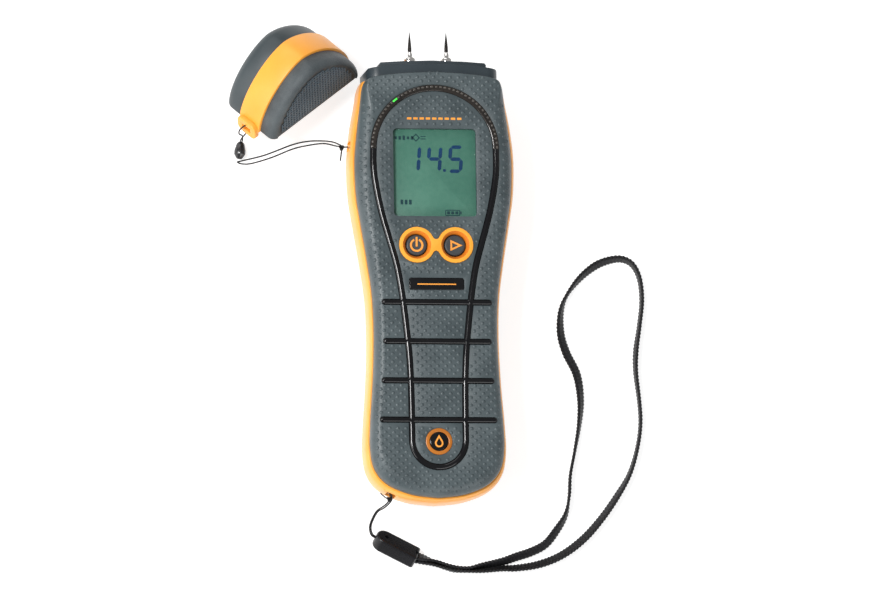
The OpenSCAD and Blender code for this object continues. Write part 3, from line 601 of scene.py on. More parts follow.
def shellLoft(name, levels):
    return loft(name, shellOutline, (0, shellPlan["midY"]), [inset(z, d) for z, d in levels])


def easeBetween(y, low, high, end):    # 1 below low, falling smoothly to end above high
    part = min(1.0, max(0.0, (y - low) / (high - low)))
    return 1 - (1 - end) * part * part * (3 - 2 * part)


def topEase(y):                        # the front's rounding closes up at the neck
    return easeBetween(y, 73, 84, 0.12)


def easedLoft(name, levels, ease):     # a shell loft whose inward draw also depends on y
    shell = shellLoft(name, levels)
    middle = shellPlan["midY"]
    for vertex in shell.data.vertices:
        height, d = min(levels, key=lambda level: abs(level[0] - vertex.co.z / mm))
        x = vertex.co.x / mm / (1 - d / shellPlan["halfX"])
        y = middle + (vertex.co.y / mm - middle) / (1 - d / shellPlan["halfY"])
        drawn = d * ease(y)
        vertex.co = (x * (1 - drawn / shellPlan["halfX"]) * mm,
                     (middle + (y - middle) * (1 - drawn / shellPlan["halfY"])) * mm, vertex.co.z)
    return shell


def roundedLevels(end, radius, way, steps=8):
    # From the straight side up to the flat end; way is 1 for the front and -1 for the back.
    made = []
    for step in range(steps + 1):
        angle = math.radians(90 * step / steps)
        made.append((end - way * radius * (1 - math.sin(angle)), radius * (1 - math.cos(angle))))
    return made


def neckForm(name, plan, grow=0.0):
    half, low = plan["half"] + grow, plan["low"] - grow
    plan2d = [(-half, low), (half, low), (half, 87.6), (half - 0.5, 88.3), (18, 89.3),
              (9, 89.85), (0, 90), (-9, 89.85), (-18, 89.3), (-half + 0.5, 88.3), (-half, 87.6)]
    body = prism(name, plan2d, -5, 40)
    section = roundedBox((0, plan["middle"]), 2 * half, plan["deep"] + 2 * grow, plan["round"], 8)
    other = prism("neckSection", section, 60, 100)
    for vertex in other.data.vertices:       # laid down so that it runs along Y
        vertex.co.y, vertex.co.z = vertex.co.z, vertex.co.y
    return cut(body, faceOut(other), "INTERSECT")


def stripLine(plan, steps=8, arcSteps=32):
    # Centre line of the glossy strip, from the arc's right end round to its left end.
    right = [(p.x, p.y) for p in curveThrough([(x, y, 0) for x, y in plan["side"]], steps)]
    ring = [(plan["ringRadius"] * math.cos(a), plan["ringY"] + plan["ringRadius"] * math.sin(a))
            for a in (-math.pi * k / arcSteps for k in range(1, arcSteps))]
    return right + ring + [(-x, y) for x, y in reversed(right)]


def bandAlong(line, half):             # a closed outline that keeps half away on each side
    left, right = [], []
    last = len(line) - 1
    for i, (x, y) in enumerate(line):
        ahead = Vector(line[min(i + 1, last)]) - Vector(line[max(i - 1, 0)])
        across = Vector((-ahead.y, ahead.x)).normalized() * half
        left.append((x + across.x, y + across.y))
        right.append((x - across.x, y - across.y))
    return left + right[::-1]


def barRows(plan):                     # (y, reach) of each bar
    return [(plan["firstBar"] - k * plan["barGap"], reach)
            for k, reach in enumerate(plan["reaches"])]


def barOutline(plan, y, reach, grow=0.0):
    wide = plan["barWide"] + 2 * grow
    return roundedBox((0, y), 2 * (reach + grow), wide, wide / 2 - 0.001, 8)


def arcOutline(plan, grow=0.0, steps=72):
    line = [(plan["arcRadius"] * math.cos(a), plan["arcY"] + plan["arcRadius"] * math.sin(a))
            for a in (math.pi * k / steps for k in range(steps + 1))]
    return bandAlong(line, plan["wide"] / 2 + grow)


def bezelOutline(plan, grow=0.0, steps=24):
    # Two rings with the waist between them filled by small fillets.
    x, radius, fillet = plan["x"], plan["ring"], plan["fillet"]
    high = math.sqrt((radius + fillet) ** 2 - x ** 2)
    start = math.atan2(high, -x)
    points = []
    for side, begin in ((1, -start), (-1, math.pi - start)):
        for step in range(steps + 1):
            angle = begin + 2 * start * step / steps
            points.append((side * x + (radius + grow) * math.cos(angle),
                           plan["y"] + (radius + grow) * math.sin(angle)))
        inner = fillet - grow
        middle = (0, plan["y"] + side * high)
        first = math.atan2(points[-1][1] - middle[1], points[-1][0] - middle[0])
        last = math.atan2(points[-1][1] - middle[1], -(points[-1][0] - middle[0]))
        turn = (last - first + math.pi) % math.tau - math.pi
        for step in range(1, 8):
            angle = first + turn * step / 8
            points.append((middle[0] + inner * math.cos(angle),
                           middle[1] + inner * math.sin(angle)))
    return points


def makeFrontShell(plan):
    levels = [(plan["bandHigh"], 0)] + roundedLevels(plan["front"], plan["frontRound"], 1)
    shell = easedLoft("frontShell", levels, topEase)
    cut(shell, shellLoft("hollow",
                         [(plan["bandHigh"] - 1, plan["wall"]), (plan["roof"], plan["wall"])]))
    cut(shell, neckForm("neckRoom", neckPlan, 0.25))
    high = plan["front"] + 1
    window = roundedBox((0, displayPlan["y"]), displayPlan["wide"] + 0.2,
                        displayPlan["high"] + 0.2, 1.7)
    cut(shell, prism("windowRoom", window, plan["roof"] - 1, high))
    cut(shell, prism("arcRoom", arcOutline(stripPlan, 0.08), plan["roof"] - 1, high))
    cut(shell, prism("stripRoom", bandAlong(stripLine(stripPlan), stripPlan["wide"] / 2 + 0.06),
                     plan["groove"], high))
    for y, reach in barRows(stripPlan):
        cut(shell, prism("barRoom", barOutline(stripPlan, y, reach, 0.08), plan["groove"], high))
    cut(shell, prism("bezelRoom", bezelOutline(buttonPlan, 0.1), plan["roof"] - 1, high))
    plate = roundedBox((0, platePlan["y"]), platePlan["wide"] + 0.2, platePlan["high"] + 0.2, 1.0)
    cut(shell, prism("plateRoom", plate, plan["front"] - 0.9, high))
    cut(shell, drum("badgeRoom", (0, badgePlan["y"]), plan["front"] - 1.2, high,
                    badgePlan["ring"] + 0.1))
    softenEdges(shell, 0.22, 2, 45)
    finished(shell, "front_shell", "shellDark")


makeFrontShell(shellPlan)
print("front shell made")

dotPlan = {
    "pitchX": 3.4, "pitchY": 1.62, "radius": 0.82, "high": 0.30, "margin": 0.80,
    "profile": [(-0.3, 1), (0.22, 0.90), (0.74, 0.60), (1.0, 0.22)],
}


def reachTable(outline, middle):       # (angle, distance) of the outline, seen from the middle
    rows = sorted((math.atan2(y - middle, x), math.hypot(x, y - middle)) for x, y in outline)
    return [r[0] for r in rows], [r[1] for r in rows]


reachAngles, reachLengths = reachTable(shellOutline, shellPlan["midY"])


def isInside(x, y, d):                 # is the point inside the outline drawn in by d
    d *= topEase(y)
    sx = x / (1 - d / shellPlan["halfX"])
    sy = (y - shellPlan["midY"]) / (1 - d / shellPlan["halfY"])
    angle = math.atan2(sy, sx)
    k = bisect.bisect(reachAngles, angle) % len(reachAngles)
    before = k - 1
    span = (reachAngles[k] - reachAngles[before]) % math.tau
    part = ((angle - reachAngles[before]) % math.tau) / span if span else 0
    reach = reachLengths[before] * (1 - part) + reachLengths[k] * part
    return math.hypot(sx, sy) < reach


def frontHeight(x, y, plan):           # height of the front's surface, and how far in the point is
    radius = plan["frontRound"]
    if isInside(x, y, radius):
        return plan["front"], radius * topEase(y)
    if not isInside(x, y, 0):
        return plan["front"] - radius, 0
    low, high = 0.0, radius
    for _ in range(14):
        half = (low + high) / 2
        low, high = (half, high) if isInside(x, y, half) else (low, half)
    across = 1 - low / radius
    return plan["front"] - radius * (1 - math.sqrt(max(0.0, 1 - across * across))), low * topEase(y)


def isPlain(x, y, keep, line):         # no fitting leaves too little room for a dot here
    boxes = [(p["wide"] / 2 + keep, p["high"] / 2 + keep, p["y"]) for p in (displayPlan, platePlan)]
    boxes += [(reach + keep, stripPlan["barWide"] / 2 + keep, barY)
              for barY, reach in barRows(stripPlan)]
    boxes += [(3, 3.4, buttonPlan["y"]), (12.2, 1.1, 67.05)]      # the waist and the printed row
    discs = [(side * buttonPlan["x"], buttonPlan["y"], buttonPlan["ring"]) for side in (-1, 1)]
    discs.append((0, badgePlan["y"], badgePlan["ring"]))
    half = stripPlan["wide"] / 2 + keep
    fromArc = math.hypot(x, y - stripPlan["arcY"]) - stripPlan["arcRadius"]
    return not (any(abs(x) < wide and abs(y - midY) < high for wide, high, midY in boxes)
                or any(math.hypot(x - a, y - b) < r + keep for a, b, r in discs)
                or y > stripPlan["arcY"] and abs(fromArc) < half
                or min(math.hypot(x - a, y - b) for a, b in line) < half)


def copiesOf(seed, name, places):      # one mesh of many copies, each at its own matrix
    count = len(seed.data.vertices)
    points = [matrix @ v.co for matrix in places for v in seed.data.vertices]
    faces = [tuple(count * k + v for v in face.vertices) for k in range(len(places))
             for face in seed.data.polygons]
    bpy.data.objects.remove(seed)
    return meshOf(name, points, faces)


def makeDots(plan):
    seed = loft("dotSeed", circlePoints(8), (0, 0),
                [(height, r, r) for height, r in plan["profile"]])
    line = stripLine(stripPlan, 20, 64)
    places = []
    step = 0.05                        # for the front's slope under a dot
    rows = int(92 / plan["pitchY"])
    columns = int(34 / plan["pitchX"]) + 1
    for row in range(-rows, rows + 1):
        y = row * plan["pitchY"]
        for column in range(-columns, columns + 1):
            x = (column + (row % 2) * 0.5) * plan["pitchX"]
            height, depth = frontHeight(x, y, shellPlan)
            if depth < 0.35 or not isInside(x, y, 0.9 if y < 70 else 0.9 / topEase(y)):
                continue
            if not isPlain(x, y, plan["margin"], line):
                continue
            falls = [(frontHeight(x - dx, y - dy, shellPlan)[0]
                      - frontHeight(x + dx, y + dy, shellPlan)[0]) / (2 * step)
                     for dx, dy in ((step, 0), (0, step))]
            turn = Vector((*falls, 1)).to_track_quat("Z", "Y").to_matrix().to_4x4()
            size = Matrix.Diagonal((plan["radius"], plan["radius"], plan["high"], 1))
            move = Matrix.Translation(Vector((x, y, height)) * mm)
            places.append(move @ turn @ size)
    dots = copiesOf(seed, "shellDots", places)
    finished(dots, "front_shell", "shellDark", 60, replaces=False)
    print("shell dots:", len(places))


makeDots(dotPlan)

notchPlan = {"low": 17.5, "high": 24.5, "tether": (-32.6, 57, 180), "strap": (-17.8, -86.2, 237)}


def notchCutter(plan, which):
    x, y, turn = plan[which]
    cutter = block("notchRoom", (-1.6, -2, plan["low"]), (5, 2, plan["high"]))
    softenEdges(cutter, 0.8, 3)
    cutter.data.transform(Matrix.Translation((x * mm, y * mm, 0))
                          @ Matrix.Rotation(math.radians(turn), 4, "Z"))
    return cutter


def sideDrum(name, low, high, y, z, radius):   # a cylinder along X
    deselectAll()
    bpy.ops.mesh.primitive_cylinder_add(
        vertices=48, radius=radius * mm, depth=(high - low) * mm, rotation=(0, math.radians(90), 0),
        location=((low + high) / 2 * mm, y * mm, z * mm))
    return settle(named(name))


def makeSideBand(plan):
    out, low, high = plan["bandOut"], plan["bandLow"] - plan["bandDrop"], plan["bandHigh"]
    levels = [(low, -out * 0.3)]
    for step in range(13):             # a crowned side
        part = step / 12
        levels.append((low + 0.35 + (high - low - 0.7) * part,
                       -out * (0.45 + 0.55 * math.sqrt(1 - (2 * part - 1) ** 2))))
    levels.append((high, -out * 0.3))
    band = easedLoft("sideBand", levels, lambda y: easeBetween(y, 58, 84, 0.4))
    cut(band, shellLoft("hollow", [(low - 1, 1.6), (high + 1, 1.6)]))
    cut(band, block("endRoom", (-40, 83.4, -5), (40, 120, 60)))
    cut(band, neckForm("neckRoom", neckPlan, 0.25))
    cut(band, notchCutter(notchPlan, "tether"))
    cut(band, notchCutter(notchPlan, "strap"))
    cut(band, sideDrum("socketRoom", *plan["socket"]))
    softenEdges(band, 0.2, 2, 50)
    finished(band, "side_band", "bandOrange")


def rearLoft(name):
    drawn = shellPlan["rearIn"]
    rounded = roundedLevels(0, shellPlan["rearRound"], -1)
    levels = [(z, d + drawn) for z, d in rounded[::-1]] + [(shellPlan["bandLow"], drawn)]
    return shellLoft(name, levels)


doorPlan = {"half": 18.0, "top": -30.0, "thick": 2.2, "gap": 0.3, "grooves": 5, "grooveGap": 2.4}


def makeRearShell(plan):
    shell = rearLoft("rearShell")
    cut(shell, shellLoft("hollow",
                         [(2.2, plan["wall"] + 0.6), (plan["bandLow"] + 1, plan["wall"] + 0.6)]))
    for place in backPlan["screws"]:
        cut(shell, drum("post", place, 1.7, plan["bandLow"] + 1.1, 3), "UNION")
        cut(shell, drum("screwRoom", place, -1, 5, 2.7))
        cut(shell, drum("screwWay", place, 4, plan["bandLow"] + 2, 1.3))
    cut(shell, neckForm("neckRoom", neckPlan, 0.25))
    half = doorPlan["half"] + doorPlan["gap"]
    cut(shell, block("doorRoom", (-half, -100, -1),
                     (half, doorPlan["top"] + doorPlan["gap"], doorPlan["thick"] + 0.6)))
    cut(shell, prism("labelRoom", roundedBox(*backPlan["label"]), -1, backPlan["labelDeep"]))
    for k in range(backPlan["grooves"]):
        groove = roundedBox((0, 58 + backPlan["gap"] * k), 30 - 2 * k, 1.2, 0.59)
        cut(shell, prism("grooveRoom", groove, -1, backPlan["grooveDeep"]))
    softenEdges(shell, 0.2, 2, 50)
    finished(shell, "rear_shell", "shellRear")


def makeDoor(plan):
    door = rearLoft("batteryDoor")
    cut(door, block("doorForm", (-plan["half"], -95, 0.3),
                    (plan["half"], plan["top"], plan["thick"])), "INTERSECT")
    for k in range(plan["grooves"]):
        y = plan["top"] - 5.5 - plan["grooveGap"] * k
        cut(door, prism("gripRoom", roundedBox((0, y), 16, 1.0, 0.49), 0, 0.9))
    arrow = [(-4, plan["top"] - 20), (0, plan["top"] - 24), (4, plan["top"] - 20)]
    cut(door, prism("arrowRoom", arrow, 0, 0.6))
    softenEdges(door, 0.25, 2, 45)
    finished(door, "battery_door", "shellRear")


def makeNeck(plan):
    neck = neckForm("neck", plan)
    end = plan["endHalf"]
    boss = [(-end, 85), (end, 85), (end, 90), (end - 0.6, 90.7), (12, 91.3), (0, 91.6), (-12, 91.3),
            (-end + 0.6, 90.7), (-end, 90)]
    reach = plan["deep"] / 2 - 1.1
    cut(neck, prism("endBoss", boss, plan["middle"] - reach, plan["middle"] + reach), "UNION")
    cut(neck, block("neckHollow", (-22, plan["low"] - 1, plan["middle"] - plan["deep"] / 2 + 3),
                    (22, 88.6, plan["middle"] + plan["deep"] / 2 - 3)))
    for x in (-pinPlan["x"], pinPlan["x"]):
        room = [(0, 86), (2.65, 86), (2.65, 95), (0, 95)]
        cut(neck, turnedPiece("pinRoom", room, x, pinPlan["z"]))
    softenEdges(neck, 0.4, 3, 30)
    finished(neck, "neck", "neckDark", 40)


pinPlan = {
    "x": 7.6, "z": 19.5,
    "pin": [(0, 79), (0.8, 79), (0.82, 98.2), (0.76, 99.4), (0.62, 100.9), (0.44, 102.5),
            (0.24, 104.1), (0.08, 105.3), (0, 105.5)],
    "collar": [(0.86, 87.2), (2.2, 87.2), (2.2, 92.4), (2.55, 92.55), (2.62, 92.8), (2.62, 93.9),
               (2.5, 94.3), (2.15, 94.7), (1.75, 95.3), (1.35, 96.1), (1.12, 96.8), (0.98, 97.0),
               (0.86, 97.0)],
}


def makePins(plan):
    for side, x in (("left", -plan["x"]), ("right", plan["x"])):
        pin = turnedPiece(side + "Pin", plan["pin"], x, plan["z"])
        finished(pin, side + "_pin", "pinSteel", 30)
        collar = turnedPiece(side + "Collar", plan["collar"], x, plan["z"], 48)
        finished(collar, side + "_collar", "collarChrome", 30)


makeSideBand(shellPlan)
makeRearShell(shellPlan)
makeDoor(doorPlan)
makeNeck(neckPlan)
makePins(pinPlan)
print("band, back, door, neck and pins made")

gripPlan = {"stripLow": 33.42, "barLow": 33.45, "stripRadius": 1.32, "barRadius": 1.2}


def tubeAlong(name, points, radii, sides=16):
    # A tube whose rings stand square to the path; radii narrow it at the ends.
    last = len(points) - 1
    rings = []
    for i, (point, radius) in enumerate(zip(points, radii)):
        ahead = (points[min(i + 1, last)] - points[max(i - 1, 0)]).normalized()
        side = ahead.cross(Vector((0, 0, 1)))
        side = side.normalized() if side.length > 0.01 else Vector((1, 0, 0))
        other = side.cross(ahead)
        rings += [(point + (side * x + other * y) * radius) * mm for x, y in circlePoints(sides)]
    return faceOut(meshOf(name, rings, tubeFaces(len(points), sides)))


def makeGripFrame(plan):
    line = stripLine(stripPlan, 8, 40)
    frameTube = tubeAlong("gripFrame", [Vector((x, y, plan["stripLow"])) for x, y in line],
                          [plan["stripRadius"]] * len(line))
    for y, reach in barRows(stripPlan):
        points, radii = [], []
        for step in range(61):
            x = -math.cos(math.pi * step / 60) * (reach - 0.02)
            height = frontHeight(x, y, shellPlan)[0] - shellPlan["front"] + plan["barLow"]
            points.append(Vector((x, y, height)))
            edge = min(1.0, (reach - abs(x)) / plan["barRadius"])
            radii.append(plan["barRadius"] * math.sqrt(max(0.0, 1 - (1 - edge) ** 2)))
        cut(frameTube, tubeAlong("bar", points, radii), "UNION")
    finished(frameTube, "grip_frame", "glossBlack", 45)


arcPlan = {
    "count": 44, "lit": 31, "radial": (0.05, 0.85), "half": 0.50, "litHalf": 1.15,
    "top": 34.63, "low": 30.6,
}


def makeLightArc(plan):
    lens = prism("lightLens", arcOutline(stripPlan), shellPlan["roof"] + 0.1,
                 shellPlan["front"] + 0.6)
    softenEdges(lens, 0.55, 4, 50)
    finished(lens, "light_lens", "smokeLens", 40)
    places, litPlaces = [], []
    for k in range(plan["count"]):
        turn = Matrix.Translation((0, stripPlan["arcY"] * mm, 0)) @ Matrix.Rotation(
            (k + 0.5) * math.pi / plan["count"], 4, "Z")
        (litPlaces if k == plan["lit"] else places).append(turn)
    inner = stripPlan["arcRadius"] + plan["radial"][0]
    outer = stripPlan["arcRadius"] + plan["radial"][1]
    for name, spots, half, finish, node in (
            ("lightWindows", places, plan["half"], "windowLight", "leds"),
            ("litWindow", litPlaces, plan["litHalf"], "litGreen", "lit_led")):
        seed = block("windowSeed", (inner, -half, plan["low"]), (outer, half, plan["top"]))
        softenEdges(seed, 0.12, 2)
        finished(copiesOf(seed, name, spots), node, finish, 40)


makeGripFrame(gripPlan)
makeLightArc(arcPlan)
print("grip frame and light arc made")

digitPlan = {
    "high": 10.0, "wide": 4.7, "stroke": 1.45, "slant": 0.08, "low": 31.7, "thick": 0.08,
    # digit: (left end, foot, lit bars counted clockwise from the top, with the middle bar last)
    "digits": [(-11.4, 45.6, (1, 2)), (-2.6, 45.6, (1, 2, 5, 6)), (6.2, 45.6, (0, 2, 3, 5, 6))],
}


def segmentOutline(a, b, half):
    along = (Vector(b) - Vector(a)).normalized()
    side = Vector((-along.y, along.x)) * half
    start, end = Vector(a) + along * 0.12, Vector(b) - along * 0.12
    return [start, start + along * half - side, end - along * half - side, end,
            end - along * half + side, start + along * half + side]


def makeDisplay(plan):
    glass = prism("displayGlass", roundedBox((0, displayPlan["y"]), displayPlan["wide"] + 3,
                                             displayPlan["high"] + 4, 0.6), 29.7, 31.7)
    softenEdges(glass, 0.15, 2)
    finished(glass, "display_glass", "displayGreen")
    w, h = plan["wide"], plan["high"]
    ends = [((0, h), (w, h)), ((w, h), (w, h / 2)), ((w, h / 2), (w, 0)), ((0, 0), (w, 0)),
            ((0, 0), (0, h / 2)), ((0, h / 2), (0, h)), ((0, h / 2), (w, h / 2))]
    low, top = plan["low"], plan["low"] + plan["thick"]
    parts = []
    for left, foot, lit in plan["digits"]:
        for k in lit:
            outline = segmentOutline(*ends[k], plan["stroke"] / 2)
            parts.append(prism("bar", [(left + p.x + plan["slant"] * p.y, foot + p.y)
                                       for p in outline], low, top))
    parts.append(prism("point", roundedBox((4.3, 45.9), 1.2, 1.1, 0.3, 3), low, top))
    finished(joined("displaySegments", parts), "display_segments", "displayInk", None)

    def mark(outline, hole=None):
        made = prism("mark", outline, low, top)
        return cut(made, prism("hole", hole, low - 1, top + 1)) if hole else made

    def rhombus(x, y, half):
        return [(x + half, y), (x, y + half), (x - half, y), (x, y - half)]

    marks = [mark(roundedBox((-15.8 + 1.7 * k, 59.3), 1.0, 1.2 + 0.35 * (k % 3), 0.2, 2))
             for k in range(5)]
    marks.append(mark(rhombus(-7.4, 59.4, 1.7), rhombus(-7.4, 59.4, 1.1)))
    marks += [mark(roundedBox((-4.4, y), 2.2, 0.35, 0.1, 2)) for y in (59.9, 58.9)]
    marks += [mark(roundedBox((-13.6 + 1.75 * k, 32.6), 1.1, 2.0, 0.2, 2)) for k in range(3)]
    marks.append(mark(roundedBox((7.4, 28.3), 6.2, 2.5, 0.4, 3),
                      roundedBox((7.4, 28.3), 5.5, 1.8, 0.2, 3)))
    marks.append(mark(roundedBox((10.85, 28.3), 0.5, 1.2, 0.1, 2)))
    marks += [mark(roundedBox((5.7 + 1.7 * k, 28.3), 1.2, 1.2, 0.1, 2)) for k in range(3)]
    finished(joined("displayMarks", marks), "display_segments", "faintInk", None, replaces=False)
    pane = prism("displayWindow",
                 roundedBox((0, displayPlan["y"]), displayPlan["wide"], displayPlan["high"], 1.5),
                 shellPlan["roof"] + 0.02, shellPlan["front"] - 0.5)
    softenEdges(pane, 0.35, 3)
    finished(pane, "display_window", "clearPane")


makeDisplay(digitPlan)
print("display made")


def discLoft(name, x, plan, levels):   # each level is (height, radius)
    at = (x, plan["y"])
    return loft(name, circlePoints(64, at), at, [(z, r, r) for z, r in levels])


def makeBezel(plan):
    low, high = shellPlan["roof"] - 1, shellPlan["front"] + 0.5
    bezel = prism("buttonBezel", bezelOutline(plan), low, high)
    cut(bezel, prism("flange", bezelOutline(plan, 1.0), low - 0.6, low + 0.6), "UNION")
    for x in (-plan["x"], plan["x"]):
        hole = plan["radius"] + 0.3
        cut(bezel, discLoft("funnel", x, plan, [
            (low - 2, hole), (high - 2.2, hole), (high - 1.5, hole + 0.18),
            (high - 0.5, hole + 0.85), (high - 0.05, hole + 1.25), (high + 1, hole + 1.35)]))
    softenEdges(bezel, 0.3, 3, 35)
    finished(bezel, "button_bezel", "bezelOrange", 30)
    bezel.data.materials.append(materials["funnelShadeOrange"])
    for face in bezel.data.polygons:   # the funnels' walls get a darker orange, painted shade in the funnels
        away = math.hypot(abs(face.center.x) - plan["x"] * mm, face.center.y - plan["y"] * mm) / mm
        if away < plan["radius"] + 1.75 and face.normal.z < 0.9:
            face.material_index = 1


def makeButton(name, x, node, plan):
    r = plan["radius"]
    button = discLoft(name, x, plan, [
        (28.4, r + 0.9), (29.6, r + 0.9), (29.7, r), (32.7, r), (32.95, r - 0.08),
        (33.12, r - 0.25), (33.2, r - 0.55), (33.16, r - 1.4), (33.12, 2.0), (33.1, 0.8)])
    finished(button, node, "keypadRubber", 40)


iconPlan = {"low": 33.0, "high": 33.3, "stroke": 0.82, "ring": 2.8}


def makeIcons(plan):
    x, y = -buttonPlan["x"], buttonPlan["y"]
    outer, inner = plan["ring"], plan["ring"] - plan["stroke"]
    start, steps = math.radians(90 + 24), 40
    sweep = [start + math.radians(360 - 48) * k / steps for k in range(steps + 1)]
    band = [(x + outer * math.cos(a), y + outer * math.sin(a)) for a in sweep]
    band += [(x + inner * math.cos(a), y + inner * math.sin(a)) for a in reversed(sweep)]
    bar = roundedBox((x, y + 1.4), plan["stroke"], 4.0, 0.2, 3)
    power = joined("powerIcon", [prism("part", outline, plan["low"], plan["high"])
                                 for outline in (band, bar)])
    softenEdges(power, 0.06, 2)
    finished(power, "power_icon", "iconOrange", None)
    x = buttonPlan["x"]
    outside = [(x - 1.9, y + 2.3), (x - 1.9, y - 2.3), (x + 3.1, y)]
    inside = [(x - 1.15, y + 1.13), (x - 1.15, y - 1.13), (x + 1.31, y)]
    mode = prism("modeIcon", outside, plan["low"], plan["high"])
    cut(mode, prism("hole", inside, plan["low"] - 1, plan["high"] + 1))
    softenEdges(mode, 0.06, 2)
    finished(mode, "mode_icon", "iconOrange", None)


def makePlateAndBadge():
    front = shellPlan["front"]
    plate = prism("namePlate",
                  roundedBox((0, platePlan["y"]), platePlan["wide"], platePlan["high"], 0.9),
                  front - 0.9, front + 0.12)
    softenEdges(plate, 0.35, 3)
    finished(plate, "name_plate", "glossBlack")
    at, low = (0, badgePlan["y"]), front - badgePlan["low"]
    ring = drum("badgeRing", at, low, front + 0.4, badgePlan["ring"], 96)
    cut(ring, drum("hole", at, front - 2, front + 1, badgePlan["disc"] + 0.05, 96))
    softenEdges(ring, 0.3, 3)
    finished(ring, "badge_ring", "ringOrange")
    disc = drum("badgeDisc", at, low, front + 0.2, badgePlan["disc"], 96)
    softenEdges(disc, 0.5, 4)
    finished(disc, "badge_disc", "glossBlack")
    dropY, r, steps = badgePlan["y"] - 0.7, badgePlan["drop"], 24
    turns = [math.radians(150 + 240 * k / steps) for k in range(steps + 1)]
    outline = [(r * math.cos(a), dropY + r * math.sin(a)) for a in turns] + [(0, dropY + r * 2)]
    part = badgePlan["dropHole"]
    hole = [(x * part, dropY + (y - dropY) * part) for x, y in outline]
    drop = prism("badgeMark", outline, front + 0.1, front + 0.32)
    cut(drop, prism("hole", hole, front - 1, front + 1))
    softenEdges(drop, 0.05, 2)
    finished(drop, "badge_mark", "markOrange", None)


makeBezel(buttonPlan)
makeButton("powerButton", -buttonPlan["x"], "power_button", buttonPlan)
makeButton("modeButton", buttonPlan["x"], "mode_button", buttonPlan)
makeIcons(iconPlan)
makePlateAndBadge()
print("buttons, plate and badge made")

capPlan = {
    "wide": 52.0, "high": 27.0, "thick": 29.5, "bandLow": -4.5, "bandHigh": 7.0, "bandOut": 1.2,
    "power": 1.21, "at": (-55.4, 82.6, 12.5), "turn": (62, 12, 38),
    "faceInset": 3.9, "faceDeep": 0.45, "dimple": 1.5, "frontRim": 3.2, "rearRim": 4.6,
}


def domePoints(plan, steps=72):
    made = []
    for k in range(steps + 1):
        angle = math.pi * k / steps
        side = math.copysign(abs(math.cos(angle)) ** plan["power"], math.cos(angle))
        made.append((side * plan["wide"] / 2,
                     math.sin(angle) ** plan["power"] * plan["high"] if 0 < k < steps else 0))
    return made


def domeLoft(name, plan, levels):      # each level is (height, how far drawn in)
    return loft(name, domePoints(plan), (0, 0), [
        (z, 1 - d / (plan["wide"] / 2), 1 - d / plan["high"]) for z, d in levels])


def capHollow(plan):
    half, d = plan["thick"] / 2 - 2, plan["bandOut"] + 2
    room = domeLoft("capRoom", plan, [(-half, d), (half, d)])
    cut(room, block("crown", (-50, plan["high"] - d, -50), (50, 60, 50)))
    side = plan["wide"] / 2 - d
    cut(room, block("mouth", (-side, -5, -half), (side, 0.5, half)), "UNION")
    return room


def asLaid(obj, plan):                 # from the cap's own frame to where it lies
    turn = Euler([math.radians(a) for a in plan["turn"]]).to_matrix().to_4x4()
    obj.data.transform(Matrix.Translation(Vector(plan["at"]) * mm) @ turn)
    return obj


